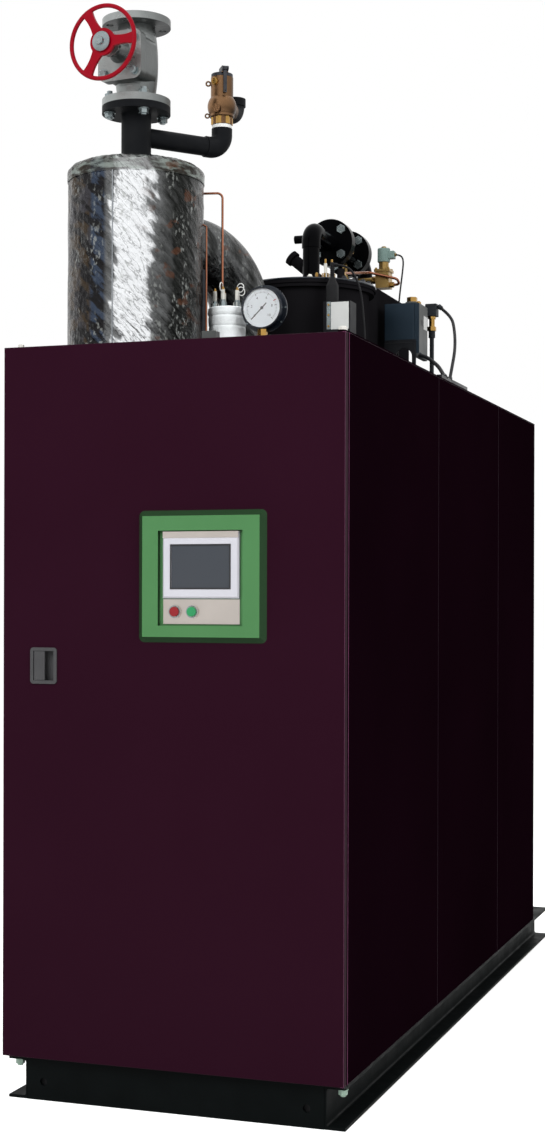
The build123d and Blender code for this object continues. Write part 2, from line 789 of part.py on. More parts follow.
stem_back = WHEEL_REACH + cone_y
wheel += rod_y(0, 0, HUB_T / 2, stem_back, STEM_R)
wheel += rod_y(0, 0, -HUB_T / 2 - STEM_NUT_T, -HUB_T / 2, STEM_R)
wheel += Pos(0, -HUB_T / 2, 0) * Rot(90, 0, 0) * hexagon(STEM_NUT_AF, STEM_NUT_T)
save("handwheel", at_valve * Pos(0, -WHEEL_REACH, STEM_RISE) * wheel)

# Safety valve: bronze body, test lever and outlet elbow
seat_z = over(SAFETY_SEAT_H)
safety = Cylinder(SEAL_R, SEAL_H, align=(Align.CENTER, Align.CENTER, Align.MIN))
safety += Pos(0, 0, SEAL_H) * hexagon(HEX_AF, HEX_H)
safety += rod(0, 0, SEAL_H + HEX_H, SEAL_H + HEX_H + COLLAR_RING_H, COLLAR_RING_R)
safety += rod(0, 0, SEAL_H, BALL_RISE, SAFETY_NECK_R)
safety += Pos(0, 0, BALL_RISE) * Sphere(SAFETY_BALL_R)
safety += rod(0, 0, BALL_RISE, SAFETY_BONNET_H, SAFETY_BONNET_R)
cap_top = SAFETY_BONNET_H + SAFETY_CAP_H
safety += rod(0, 0, SAFETY_BONNET_H, cap_top, SAFETY_BONNET_R - SAFETY_CAP_STEP)
safety += rod_y(0, BALL_RISE - BOSS_DROP, -BOSS_REACH, 0, BOSS_R)
lever_y = -SAFETY_BONNET_R - LEVER_GAP - LEVER_T / 2
lever_z = cap_top + LEVER_RISE
eye_r = LEVER_PIN_R + LEVER_EAR_WALL
lever_turn = Rot(0, 0, LEVER_TURN)
fork_half = LEVER_W / 2 + LEVER_SIDE_GAP + LEVER_CHEEK
fork_low = cap_top - CUT_OVERRUN
fork = block(-fork_half, fork_half, lever_y, -SAFETY_CAP_STEP, fork_low, lever_z + eye_r)
fork += rod_x(lever_y, lever_z, -fork_half, fork_half, eye_r)
slot_half = fork_half - LEVER_CHEEK
slot_back = -SAFETY_BONNET_R + LEVER_EAR_WALL
slot_front = lever_y - eye_r - CUT_OVERRUN
fork -= block(-slot_half, slot_half, slot_front, slot_back, fork_low - CUT_OVERRUN, lever_z + eye_r)
fork += rod_x(lever_y, lever_z, -fork_half, fork_half, LEVER_PIN_R)
safety += lever_turn * fork
outlet_turn = Rot(0, 0, SAFETY_OUT_TURN)
safety += outlet_turn * rod_x(0, BALL_RISE, 0, SAFETY_OUT_REACH, SAFETY_OUT_R)
at_safety = Pos(safety_x, safety_y, seat_z)

lever_half_w = LEVER_W / 2
lever_half_t = LEVER_T / 2
lever_low = lever_z - LEVER_DROP
lever = block(-lever_half_w, lever_half_w, lever_y - lever_half_t, lever_y + lever_half_t, lever_low, lever_z)
lever += rod_x(lever_y, lever_z, -lever_half_w, lever_half_w, eye_r)
lever -= rod_x(lever_y, lever_z, -LEVER_W, LEVER_W, LEVER_PIN_R + PIVOT_FIT)
lever -= rod_y(0, lever_low + LEVER_HOLE_RISE, lever_y - LEVER_T, lever_y + LEVER_T, LEVER_HOLE_R)
save("safety_valve_body", at_safety * safety)
save("safety_valve_lever", at_safety * lever_turn * lever)
outlet_x = SAFETY_OUT_REACH + OUTLET_RUN
outlet_top = BALL_RISE + OUTLET_RISE
outlet_route = ((SAFETY_OUT_REACH, 0, BALL_RISE), (outlet_x, 0, BALL_RISE), (outlet_x, 0, outlet_top))
outlet = pipe(outlet_route, OUTLET_R, OUTLET_BEND)
outlet += rod(outlet_x, 0, outlet_top - OUTLET_COLLAR_H, outlet_top, OUTLET_COLLAR_R)
outlet -= pipe(outlet_route, OUTLET_R - OUTLET_WALL, OUTLET_BEND)
save("safety_valve_outlet", at_safety * outlet_turn * outlet)

# Level electrode pot beside the separator
pot_x = across(POT_X)
pot_y = back(POT_Y)
pot = rod(pot_x, pot_y, ROOF, over(POT_H), POT_R)
pot += rod(pot_x, pot_y, over(POT_H - POT_RIM_H), over(POT_H), POT_R + POT_RIM_STEP)
save("electrode_pot", pot)
electrode = hexagon(ELECTRODE_HEX_AF, ELECTRODE_HEX_H)
electrode += rod(0, 0, ELECTRODE_HEX_H, ELECTRODE_H, ELECTRODE_R)
electrodes = Part()
for index in range(ELECTRODES):
    spread = Rot(0, 0, -90 + index * 360 / ELECTRODES) * Pos(ELECTRODE_RING_R, 0, 0)
    electrodes += Pos(pot_x, pot_y, over(POT_H)) * spread * electrode
save("level_electrodes", electrodes)

# Copper balance tube from the separator's side down into the pot
tube_x = pot_x - TUBE_INSET
tube_turn = math.radians(TUBE_TURN)
tube_seat_r = SEPARATOR_R - 2 * TUBE_R
tube_start = (
    sep_x + tube_seat_r * math.cos(tube_turn),
    sep_y + tube_seat_r * math.sin(tube_turn),
    over(TUBE_H),
)
tube_route = (tube_start, (tube_x, pot_y, over(TUBE_H)), (tube_x, pot_y, over(POT_H)))
balance_tube = pipe(tube_route, TUBE_R, TUBE_BEND)
balance_tube -= rod(sep_x, sep_y, ROOF, over(SEPARATOR_H), SEPARATOR_R)
save("balance_tube", balance_tube)

# Pressure gauge on its stand
gauge_x = across(GAUGE_X)
gauge_y = back(GAUGE_Y)
gauge_z = over(GAUGE_H)
gauge_case = rod_y(0, 0, 0, GAUGE_DEPTH, GAUGE_R)
gauge_case -= rod_y(0, 0, -CUT_OVERRUN, GAUGE_DEPTH - GAUGE_WALL, GAUGE_R - GAUGE_WALL)
gauge_case += rod_y(0, 0, GAUGE_DIAL_BACK, GAUGE_DIAL_BACK + GAUGE_DIAL_T, GAUGE_R - GAUGE_WALL)
gauge_flange = rod_y(0, 0, GAUGE_FLANGE_BACK, GAUGE_FLANGE_BACK + GAUGE_FLANGE_T, GAUGE_FLANGE_R)
gauge_flange -= rod_y(0, 0, 0, GAUGE_DEPTH, GAUGE_R - GAUGE_WALL / 2)
gauge_case += gauge_flange
at_gauge = Pos(gauge_x, gauge_y, gauge_z)
save("pressure_gauge_case", at_gauge * gauge_case)
glass = rod_y(0, 0, GLASS_BACK, GLASS_BACK + GLASS_T, GAUGE_R - GAUGE_WALL)
save("pressure_gauge_glass", at_gauge * glass)
pointer = block(-POINTER_TAIL, POINTER_L, -POINTER_T, 0, -POINTER_W / 2, POINTER_W / 2)
pointer += rod_y(0, 0, -POINTER_T, 0, POINTER_HUB_R)
pointer += rod_y(0, 0, -POINTER_T, 0, POINTER_W / 2)
at_dial = at_gauge * Pos(0, GAUGE_DIAL_BACK, 0) * Rot(0, POINTER_ANGLE - 90, 0)
save("pressure_gauge_pointer", at_dial * pointer)
stand_y = gauge_y + GAUGE_FLANGE_BACK / 2
fitting_top = gauge_z - math.sqrt(GAUGE_R**2 - FITTING_R**2)
fitting = rod(gauge_x, stand_y, fitting_top - FITTING_H, gauge_z - GAUGE_R + GAUGE_WALL, FITTING_R)
fitting -= rod_y(gauge_x, gauge_z, gauge_y - CUT_OVERRUN, gauge_y + GAUGE_DEPTH, GAUGE_R)
gauge_stand = fitting + rod(gauge_x, stand_y, ROOF, fitting_top - FITTING_H, STAND_R)
save("gauge_stand", gauge_stand)

# Burner drum with the air duct behind it, and its bolted lid with the pilot boss and the sight tube
drum_x = across(DRUM_X)
drum_y = back(DRUM_Y)
lid_under = over(LID_TOP_H - LID_T)
drum = rod(drum_x, drum_y, BODY_TOP, lid_under, DRUM_R)
drum += rod(drum_x, drum_y, lid_under - DRUM_RIM_T, lid_under, DRUM_RIM_R)
air_duct = block(drum_x - AIR_HALF_W, drum_x + AIR_HALF_W, drum_y, back(AIR_REAR), ROOF, over(AIR_H))
air_duct = fillet(air_duct.edges().filter_by(Axis.X).group_by(Axis.Z)[-1].sort_by(Axis.Y)[-1], AIR_EDGE)
air_duct -= rod(drum_x, drum_y, lid_under, over(AIR_H) + CUT_OVERRUN, LID_R + AIR_LID_GAP)
save("burner_drum", drum + air_duct)
lid = rod(drum_x, drum_y, lid_under, over(LID_TOP_H), LID_R)
pilot_x = across(PILOT_X)
pilot_y = back(PILOT_Y)
lid += rod(pilot_x, pilot_y, over(LID_TOP_H), over(LID_TOP_H + PILOT_RISE) + PILOT_BOSS_R, PILOT_BOSS_R)
sight_x = across(SIGHT_X)
sight_y = back(SIGHT_Y)
sight = rod(0, 0, -2 * SIGHT_R, SIGHT_L, SIGHT_R) + rod(0, 0, SIGHT_L, SIGHT_L + SIGHT_CAP_L, SIGHT_CAP_R)
sight = Pos(sight_x, sight_y, over(LID_TOP_H)) * Rot(0, -SIGHT_LEAN, 0) * sight
sight -= rod(drum_x, drum_y, ROOF, lid_under, LID_R)
lid += sight
save("drum_lid", lid)

# Gas train: riser from the lid with its plugged tee, flanged valve, and the drop pipe through the roof
gas_x = across(GAS_X)
gas_y = back(GAS_RISER_Y)
gas_z = over(GAS_AXIS_H)
gas_bore = GAS_R - GAS_WALL
flange_1_y = back(GAS_FLANGE_1_Y)
valve_y0 = flange_1_y + GAS_FLANGE_T
valve_y1 = valve_y0 + GAS_VALVE_L
drop_y = back(GAS_DROP_Y)


def upright_flange(y0):
    """A gas flange facing along Y, its front face at y0."""
    disc = flange(GAS_FLANGE_R, GAS_FLANGE_T, GAS_FLANGE_PCD, FLANGE_BOLTS, FLANGE_HOLE_R, gas_bore)
    return Pos(gas_x, y0 + GAS_FLANGE_T, gas_z) * Rot(90, 0, 0) * disc


gas_corner = (gas_x, gas_y, gas_z)
gas_riser = pipe(((gas_x, gas_y, over(LID_TOP_H)), gas_corner, (gas_x, flange_1_y, gas_z)), GAS_R, ELBOW_BEND)
gas_riser += elbow((gas_x, gas_y, ROOF), gas_corner, (gas_x, gas_y + ELBOW_REACH, gas_z))
gas_riser += rod_x(back(GAS_PLUG_Y), gas_z, gas_x - GAS_PLUG_REACH, gas_x, GAS_PLUG_R)
gas_riser += upright_flange(flange_1_y)
gas_riser -= rod_y(gas_x, gas_z, flange_1_y, valve_y0 + CUT_OVERRUN, gas_bore)
save("gas_riser", gas_riser)

gas_valve = upright_flange(valve_y0) + upright_flange(valve_y1 - GAS_FLANGE_T)
gas_valve += rod_y(gas_x, gas_z, valve_y0, valve_y1, GAS_VALVE_R)
gas_valve += rod(gas_x, (valve_y0 + valve_y1) / 2, gas_z, gas_z + GAS_VALVE_STEM_H, SHAFT_HEX_AF / 2)
gas_valve -= rod_y(gas_x, gas_z, valve_y0 - CUT_OVERRUN, valve_y1 + CUT_OVERRUN, gas_bore)
save("gas_valve", gas_valve)

gas_drop = pipe(
    ((gas_x, valve_y1, gas_z), (gas_x, drop_y, gas_z), (gas_x, drop_y, BODY_TOP)),
    GAS_R,
    GAS_BEND,
)
gas_drop += upright_flange(valve_y1)
gas_drop -= rod_y(gas_x, gas_z, valve_y1 - CUT_OVERRUN, valve_y1 + GAS_FLANGE_T, gas_bore)
save("gas_drop_pipe", gas_drop)

# Pilot gas solenoid on a nipple from the gas valve's underside, and its copper tube
sol_x = across(SOLENOID_X)
sol_y = back(SOLENOID_Y)
half_body = SOLENOID_BODY_W / 2
body_top = over(SOLENOID_BODY_TOP)
body_low = body_top - SOLENOID_BODY_H
body_height = body_top - body_low
solenoid = Pos(sol_x, sol_y, body_low + body_height / 2) * Box(SOLENOID_BODY_W, SOLENOID_BODY_W, body_height)
solenoid += rod(sol_x, sol_y, body_top, over(SOLENOID_COIL_BOTTOM), SOLENOID_NECK_R)
body_mid = (body_low + body_top) / 2
nipple = pipe(
    ((sol_x, sol_y, body_mid), (gas_x, sol_y, body_mid), (gas_x, sol_y, gas_z)),
    NIPPLE_R,
    NIPPLE_BEND,
)
solenoid += nipple - rod_y(gas_x, gas_z, valve_y0, valve_y1, GAS_VALVE_R)
coil = rod(sol_x, sol_y, over(SOLENOID_COIL_BOTTOM), over(SOLENOID_COIL_TOP), SOLENOID_COIL_R)
coil_mid = over((SOLENOID_COIL_BOTTOM + SOLENOID_COIL_TOP) / 2)
plug_x0 = sol_x + SOLENOID_COIL_R - CUT_OVERRUN
coil += block(
    plug_x0,
    plug_x0 + PLUG_L,
    sol_y - PLUG_W / 2,
    sol_y + PLUG_W / 2,
    coil_mid - PLUG_W / 2,
    coil_mid + PLUG_W / 2,
)
coil += gland_behind(PILOT_CABLE_ROUTE, PILOT_CABLE_R)
save("pilot_solenoid", solenoid + coil)
save("pilot_cable", cable(PILOT_CABLE_ROUTE, PILOT_CABLE_R))

tube_end_z = body_low + half_body / 2
pilot_tube = pipe(
    (
        (pilot_x, pilot_y + PILOT_BOSS_R, over(LID_TOP_H + PILOT_RISE)),
        (pilot_x, sol_y - PILOT_LOOP_FRONT, tube_end_z + PILOT_LOOP_RISE),
        (sol_x + PILOT_LOOP_SIDE, sol_y - PILOT_LOOP_DEPTH, tube_end_z + PILOT_LOOP_MID),
        (sol_x + PILOT_LOOP_SIDE, sol_y, tube_end_z),
        (sol_x + half_body, sol_y, tube_end_z),
    ),
    PILOT_TUBE_R,
    PILOT_TUBE_BEND,
)
save("pilot_tube", pilot_tube - lid)

# Control motor on its arched bracket
motor_x0 = across(MOTOR_LEFT)
motor_x1 = across(MOTOR_RIGHT)
motor_y0 = back(MOTOR_FRONT)
motor_y1 = motor_y0 + MOTOR_D
motor = block(motor_x0, motor_x1, motor_y0, motor_y1, over(MOTOR_BOTTOM), over(MOTOR_TOP))
motor = fillet(motor.edges().filter_by(Axis.Z), MOTOR_EDGE)
side_low = over(MOTOR_BOTTOM - MOTOR_SIDE_DROP)
side_x1 = motor_x1 + MOTOR_SIDE_T
motor_side = block(motor_x1, side_x1, motor_y0 + BRACKET_T, motor_y1, side_low, over(MOTOR_TOP))
motor_shaft_x = motor_x1 - COLLAR_R
motor_shaft_y = (motor_y0 + motor_y1) / 2
collar = rod(motor_shaft_x, motor_shaft_y, over(MOTOR_TOP), over(MOTOR_TOP) + COLLAR_H, COLLAR_R)
collar += Pos(motor_shaft_x, motor_shaft_y, over(MOTOR_TOP) + COLLAR_H) * hexagon(SHAFT_HEX_AF, SHAFT_HEX_H)
motor_gland = gland_behind(MOTOR_CABLE_ROUTE, MOTOR_CABLE_R)
save("control_motor", motor + motor_side + motor_gland + collar)
save("motor_cable", cable(MOTOR_CABLE_ROUTE, MOTOR_CABLE_R))
bracket = block(motor_x0, motor_x1 + BRACKET_T, motor_y0, motor_y0 + BRACKET_T, ROOF, over(MOTOR_BOTTOM))
bracket += block(motor_x0, motor_x1, motor_y0, motor_y1, over(MOTOR_BOTTOM) - BRACKET_T, over(MOTOR_BOTTOM))
arch_x = across(ARCH_X)
bracket -= block(
    arch_x - ARCH_HALF_W,
    arch_x + ARCH_HALF_W,
    motor_y0 - CUT_OVERRUN,
    motor_y0 + BRACKET_T + CUT_OVERRUN,
    ROOF - CUT_OVERRUN,
    over(ARCH_TOP - ARCH_HALF_W),
)
bracket -= rod_y(
    arch_x,
    over(ARCH_TOP - ARCH_HALF_W),
    motor_y0 - CUT_OVERRUN,
    motor_y0 + BRACKET_T + CUT_OVERRUN,
    ARCH_HALF_W,
)
bracket += block(motor_x0, motor_x1, motor_y0, motor_y0 + BRACKET_FOOT, ROOF, ROOF + BRACKET_T)
save("motor_bracket", bracket)

# Pressure switch on its post
switch_x = across(SWITCH_X)
switch_y = back(SWITCH_Y)
switch_low = over(SWITCH_TOP - SWITCH_BODY_H)
half_switch = SWITCH_W / 2
switch = block(
    switch_x - half_switch,
    switch_x + half_switch,
    switch_y - half_switch,
    switch_y + half_switch,
    switch_low,
    over(SWITCH_TOP),
)
switch = fillet(switch.edges().filter_by(Axis.Z), MOTOR_EDGE)
switch += gland_behind(SWITCH_CABLE_ROUTE, CABLE_R)
save("switch_cable", cable(SWITCH_CABLE_ROUTE, CABLE_R))
brass_low = switch_low - SWITCH_BRASS_H
post = rod(switch_x, switch_y, ROOF, brass_low, POST_R)
post += rod(switch_x, switch_y, brass_low - POST_SLEEVE_H, brass_low, POST_SLEEVE_R)
post += rod(switch_x, switch_y, brass_low, switch_low, SWITCH_BRASS_R)
save("pressure_switch", switch + post)

# Ignition transformer, the boot on its terminal and the igniters in the lid
trans_y0 = back(TRANSFORMER_FRONT)
transformer = block(
    across(TRANSFORMER_LEFT),
    across(TRANSFORMER_RIGHT),
    trans_y0,
    trans_y0 + TRANSFORMER_D,
    ROOF,
    over(TRANSFORMER_H),
)
save("ignition_transformer", fillet(transformer.edges().filter_by(Axis.Z), TRANSFORMER_EDGE))
boot_x = across(BOOT_X)
boot_y = back(BOOT_Y)
boot = rod(boot_x, boot_y, over(TRANSFORMER_H), over(TRANSFORMER_H) + BOOT_CUP_H, BOOT_R)
boot_cone = Cone(BOOT_R, BOOT_TOP_R, BOOT_H - BOOT_CUP_H)
boot += Pos(boot_x, boot_y, over(TRANSFORMER_H) + (BOOT_H + BOOT_CUP_H) / 2) * boot_cone
boot += gland_behind(IGNITER_LEAD_ROUTE, LEAD_R)
save("ignition_boot", boot)
save("igniter_lead", cable(IGNITER_LEAD_ROUTE, LEAD_R))
igniter = hexagon(IGNITER_HEX_AF, IGNITER_HEX_H)
igniter += rod(0, 0, IGNITER_HEX_H, IGNITER_H, IGNITER_R)
igniter += rod(0, 0, IGNITER_H, IGNITER_H + IGNITER_TIP_H, IGNITER_R / 2)
igniters = Part()
for angle in IGNITER_ANGLES:
    spread = Rot(0, 0, angle) * Pos(LID_R * IGNITER_RING_SHARE, 0, 0)
    igniters += Pos(drum_x, drum_y, over(LID_TOP_H)) * spread * igniter
save("igniters", igniters)

# Trunking along the roof's right edge, where two cables end in glands
strip_x0 = across(STRIP_FROM_LEFT)
strip = block(strip_x0, strip_x0 + STRIP_W, back(STRIP_START), back(STRIP_END), ROOF, ROOF + STRIP_H)
gland_seat = ROOF + STRIP_H - CUT_OVERRUN
strip += gland_down(MOTOR_CABLE_ROUTE, MOTOR_CABLE_R, gland_seat)
strip += gland_down(SWITCH_CABLE_ROUTE, CABLE_R, gland_seat)
save("cable_trunking", strip)

# Front door with its pivot blocks, and everything mounted on it
door = block(LEFT, RIGHT, FRONT, FRONT + DOOR_T, DOOR_BOTTOM, DOOR_TOP)
door -= block(
    LEFT + DOOR_SHEET,
    RIGHT - DOOR_SHEET,
    FRONT + DOOR_SHEET,
    FRONT + DOOR_T + CUT_OVERRUN,
    DOOR_BOTTOM + DOOR_SHEET,
    DOOR_TOP - DOOR_SHEET,
)
for z0, z1 in ((DOOR_BOTTOM, DOOR_BOTTOM + PIVOT_BLOCK_H), (DOOR_TOP - PIVOT_BLOCK_H, DOOR_TOP)):
    door += block(PIVOT_X - PIVOT_INSET, RIGHT, FRONT, FRONT + 2 * PIVOT_INSET, z0, z1)
    door -= rod(PIVOT_X, PIVOT_Y, z0 - CUT_OVERRUN, z1 + CUT_OVERRUN, PIVOT_R + PIVOT_FIT)
handle_x = across(HANDLE_FROM_LEFT)
bowl_half_w = HANDLE_W / 2 - HANDLE_RIM
bowl_half_h = HANDLE_H / 2 - HANDLE_RIM
bowl_z0 = HANDLE_FROM_FLOOR - bowl_half_h
bowl_z1 = HANDLE_FROM_FLOOR + bowl_half_h
bowl_back = FRONT + HANDLE_BOWL_D
door -= block(
    handle_x - bowl_half_w,
    handle_x + bowl_half_w,
    FRONT - CUT_OVERRUN,
    FRONT + DOOR_SHEET + CUT_OVERRUN,
    bowl_z0,
    bowl_z1,
)

flange_face = Plane.XZ * RectangleRounded(HANDLE_W, HANDLE_H, HANDLE_CORNER)
bowl = Pos(handle_x, FRONT, HANDLE_FROM_FLOOR) * extrude(flange_face, HANDLE_FLANGE_T)
bowl_x0 = handle_x - bowl_half_w
bowl_x1 = handle_x + bowl_half_w
bowl += block(bowl_x0, bowl_x1, FRONT - HANDLE_FLANGE_T, bowl_back, bowl_z0, bowl_z1)
inner_x0 = bowl_x0 + HANDLE_BOWL_WALL
inner_x1 = bowl_x1 - HANDLE_BOWL_WALL
inner_z0 = bowl_z0 + HANDLE_BOWL_WALL
inner_z1 = bowl_z1 - HANDLE_BOWL_WALL
bowl -= block(
    inner_x0,
    inner_x1,
    FRONT - HANDLE_FLANGE_T - CUT_OVERRUN,
    bowl_back - HANDLE_BOWL_WALL,
    inner_z0,
    inner_z1,
)
barrel_r = PADDLE_T / 2 + PADDLE_GAP
paddle_pin_x = inner_x0 + barrel_r + PADDLE_GAP
paddle_pin_y = FRONT - HANDLE_FLANGE_T + barrel_r
bowl += rod(paddle_pin_x, paddle_pin_y, inner_z0, inner_z1, PADDLE_PIN_R)
save("handle_bowl", bowl)
paddle_x1 = inner_x0 + (inner_x1 - inner_x0) * PADDLE_W_SHARE
paddle_y0 = FRONT - HANDLE_FLANGE_T
paddle = block(
    paddle_pin_x,
    paddle_x1,
    paddle_y0,
    paddle_y0 + PADDLE_T,
    inner_z0 + PADDLE_GAP,
    inner_z1 - PADDLE_GAP,
)
paddle += rod(paddle_pin_x, paddle_pin_y, inner_z0 + PADDLE_GAP, inner_z1 - PADDLE_GAP, barrel_r)
paddle -= rod(paddle_pin_x, paddle_pin_y, inner_z0, inner_z1, PADDLE_PIN_R + PIVOT_FIT)
save("handle_paddle", paddle)

# Operating panel: bevelled surround, touch screen unit, button plate and two push buttons
surround_w = SURROUND_RIGHT - SURROUND_LEFT
surround_h = SURROUND_TOP - SURROUND_BOTTOM
surround_x = across((SURROUND_LEFT + SURROUND_RIGHT) / 2)
surround_z = (SURROUND_BOTTOM + SURROUND_TOP) / 2
surround_back = Plane.XZ * RectangleRounded(surround_w, surround_h, SURROUND_BEVEL)
bevel_angle = math.degrees(math.atan2(SURROUND_BEVEL, SURROUND_T))
surround = Pos(surround_x, FRONT, surround_z) * extrude(surround_back, SURROUND_T, taper=bevel_angle)
window_x0 = across(WINDOW_LEFT)
window_x1 = across(WINDOW_RIGHT)
surround -= block(
    window_x0,
    window_x1,
    FRONT - SURROUND_T - CUT_OVERRUN,
    FRONT - PLATE_T,
    WINDOW_BOTTOM,
    WINDOW_TOP,
)
panel_back = FRONT - PLATE_T
bezel_x = (window_x0 + window_x1) / 2
bezel_z1 = WINDOW_TOP - PLATE_T
bezel_z0 = bezel_z1 - BEZEL_H
bezel = block(
    bezel_x - BEZEL_W / 2,
    bezel_x + BEZEL_W / 2,
    panel_back - BEZEL_T,
    panel_back,
    bezel_z0,
    bezel_z1,
)
bezel = chamfer(bezel.faces().sort_by(Axis.Y)[0].edges(), BEZEL_EDGE)
screen_z = (bezel_z0 + bezel_z1) / 2
screen_y0 = panel_back - BEZEL_T
bezel -= block(
    bezel_x - SCREEN_W / 2,
    bezel_x + SCREEN_W / 2,
    screen_y0 - CUT_OVERRUN,
    screen_y0 + SCREEN_T,
    screen_z - SCREEN_H / 2,
    screen_z + SCREEN_H / 2,
)
save("touch_unit_bezel", bezel)
screen = block(
    bezel_x - SCREEN_W / 2,
    bezel_x + SCREEN_W / 2,
    screen_y0 + SCREEN_T / 2,
    screen_y0 + SCREEN_T,
    screen_z - SCREEN_H / 2,
    screen_z + SCREEN_H / 2,
)
save("touch_screen", screen)

plate_z1 = bezel_z0 - PLATE_T
plate_z0 = plate_z1 - PLATE_H
plate_x0 = bezel_x - BEZEL_W / 2
plate = block(plate_x0, plate_x0 + BEZEL_W, panel_back - PLATE_T, panel_back, plate_z0, plate_z1)
button_z = (plate_z0 + plate_z1) / 2
for name, index in (("stop_button", 0), ("start_button", 1)):
    button_x = plate_x0 + BUTTON_FROM_LEFT + index * BUTTON_PITCH
    ring_y0 = panel_back - PLATE_T - BUTTON_RING_T
    plate += rod_y(button_x, button_z, ring_y0, panel_back - PLATE_T, BUTTON_RING_R)
    bore_r = BUTTON_R + BUTTON_BORE_GAP
    bore = rod_y(button_x, button_z, ring_y0 - CUT_OVERRUN, FRONT + DOOR_T, bore_r)
    plate -= bore
    surround -= bore
    door -= bore
    button_y0 = ring_y0 - BUTTON_PROUD
    button = rod_y(button_x, button_z, button_y0, button_y0 + BUTTON_L, BUTTON_R)
    save(name, button)
save("button_plate", plate)
save("panel_surround", surround)
save("front_door", door)
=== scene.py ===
import math
from functools import partial

import bmesh
import bpy
from mathutils import Matrix, Vector, noise


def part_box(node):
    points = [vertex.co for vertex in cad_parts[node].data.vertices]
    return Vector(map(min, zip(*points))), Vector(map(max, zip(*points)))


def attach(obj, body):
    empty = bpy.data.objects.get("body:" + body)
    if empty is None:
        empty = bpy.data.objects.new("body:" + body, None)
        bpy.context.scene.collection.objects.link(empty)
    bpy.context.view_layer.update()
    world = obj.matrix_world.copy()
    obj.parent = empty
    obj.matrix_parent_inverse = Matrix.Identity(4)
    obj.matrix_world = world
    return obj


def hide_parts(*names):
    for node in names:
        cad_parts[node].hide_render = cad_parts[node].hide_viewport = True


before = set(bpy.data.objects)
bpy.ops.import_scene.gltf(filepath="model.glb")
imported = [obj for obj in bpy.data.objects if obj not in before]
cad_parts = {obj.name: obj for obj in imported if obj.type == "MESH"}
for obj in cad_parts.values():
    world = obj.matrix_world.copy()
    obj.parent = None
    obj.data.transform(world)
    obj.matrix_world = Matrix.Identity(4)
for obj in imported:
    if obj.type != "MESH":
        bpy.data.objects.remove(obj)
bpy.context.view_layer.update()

# Camera at the photograph's viewing angle, and the strength of the light round the boiler
CAMERA_PLACE = (1.571, -5.0431, 1.1936)
CAMERA_YAW = 0.3343
CAMERA_ROLL = 0.0027
CAMERA_LENS = 55.99
CAMERA_SHIFT_Y = 0.0268
WORLD_SEEN = 1.0
WORLD_LIGHT = 0.55
FLOOR_SEEN_LIGHT = 0.54
FLOOR_RADIUS = 40.0

# Routes of the cables, in metres: the same points as the solids follow
MOTOR_CABLE_ROUTE = (
    (0.278, -0.02, 1.91), (0.312, -0.066, 1.897), (0.347, -0.124, 1.873), (0.38, -0.188, 1.848),
    (0.408, -0.252, 1.816),
)
SWITCH_CABLE_ROUTE = (
    (0.304, 0.139, 2.07), (0.32, 0.134, 2.056), (0.335, 0.12, 2.041), (0.349, 0.096, 2.023),
    (0.362, 0.058, 1.998), (0.378, 0.005, 1.958), (0.393, -0.062, 1.911), (0.404, -0.135, 1.864),
    (0.412, -0.2, 1.816),
)
PILOT_CABLE_ROUTE = (
    (0.156, 0.168, 2.245), (0.168, 0.167, 2.243), (0.177, 0.164, 2.234), (0.181, 0.158, 2.219),
    (0.182, 0.149, 2.198), (0.18, 0.14, 2.16), (0.176, 0.132, 2.11), (0.173, 0.126, 2.05),
    (0.173, 0.124, 1.985), (0.174, 0.122, 1.92), (0.174, 0.121, 1.862), (0.173, 0.121, 1.812),
)
IGNITER_LEAD_ROUTE = (
    (0.144, -0.405, 2.112), (0.17, -0.403, 2.108), (0.19, -0.401, 2.089), (0.204, -0.398, 2.058),
    (0.211, -0.395, 2.024), (0.215, -0.393, 1.985), (0.219, -0.392, 1.93), (0.222, -0.392, 1.87),
    (0.222, -0.391, 1.812),
)


def upright_axis(low, high):
    """The foot of the upright axis through the middle of a box."""
    return Vector(((low.x + high.x) / 2, (low.y + high.y) / 2, 0))


# The tower's box and axis
TOWER_LOW, TOWER_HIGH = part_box("separator_jacket")
TOWER_AXIS = upright_axis(TOWER_LOW, TOWER_HIGH)

# The fittings on the roof: turns, circles and axes, in degrees and metres
VALVE_TURN = -6
STUD_CIRCLE = 0.07
SAFETY_AXIS = Vector((-0.087, -0.685, 0))
ELECTRODES = 5
WIRED_ELECTRODES = 3
ELECTRODE_CIRCLE = 0.032
SOLENOID_AXIS = Vector((0.117, 0.168, 0))
SWITCH_AXIS = Vector((0.275, 0.139, 0))
GAS_LINE_Z = 2.262

# The foil: the direction across the view, the brightness of its painted reflection bands along it and at
# both ends, how far the folds shift the bands, the slope of the folds and their depth
FOIL_ACROSS = (0.916, 0.4, 0.0)
FOIL_REFLECTION_ENDS = (0.05, 0.1)
FOIL_SHIFT = 0.24
FOIL_SLOPE = ((9.92, 4.32, -11.84), (42.16, 18.6, 41.54), (-9.0, 21.0, 0.0))
FOIL_FOLD_DEPTH = 0.008
FOIL_REFLECTION_BANDS = (
    (0.22, 0.08), (0.3, 0.16), (0.335, 0.22), (0.37, 1.0), (0.57, 1.0), (0.62, 0.16),
    (0.7, 0.06), (0.78, 0.0), (0.89, 0.0), (0.95, 0.03),
)

# Share of the second colour in a finish's patches, and the roughness of every clear coat
PATCH_AMOUNT = 0.6
COAT_ROUGHNESS = 0.08


# Shader groups that several finishes share

def new_group(name, inputs, outputs):
    """An empty shader group with its sockets, its input node and its output node."""
    tree = bpy.data.node_groups.new(name, "ShaderNodeTree")
    for label, kind, value in inputs:
        socket = tree.interface.new_socket(label, in_out="INPUT", socket_type="NodeSocket" + kind)
        socket.default_value = value
    for label, kind in outputs:
        tree.interface.new_socket(label, in_out="OUTPUT", socket_type="NodeSocket" + kind)
    return tree, tree.nodes.new("NodeGroupInput"), tree.nodes.new("NodeGroupOutput")


def opaque(colour):
    return (*colour, 1.0)


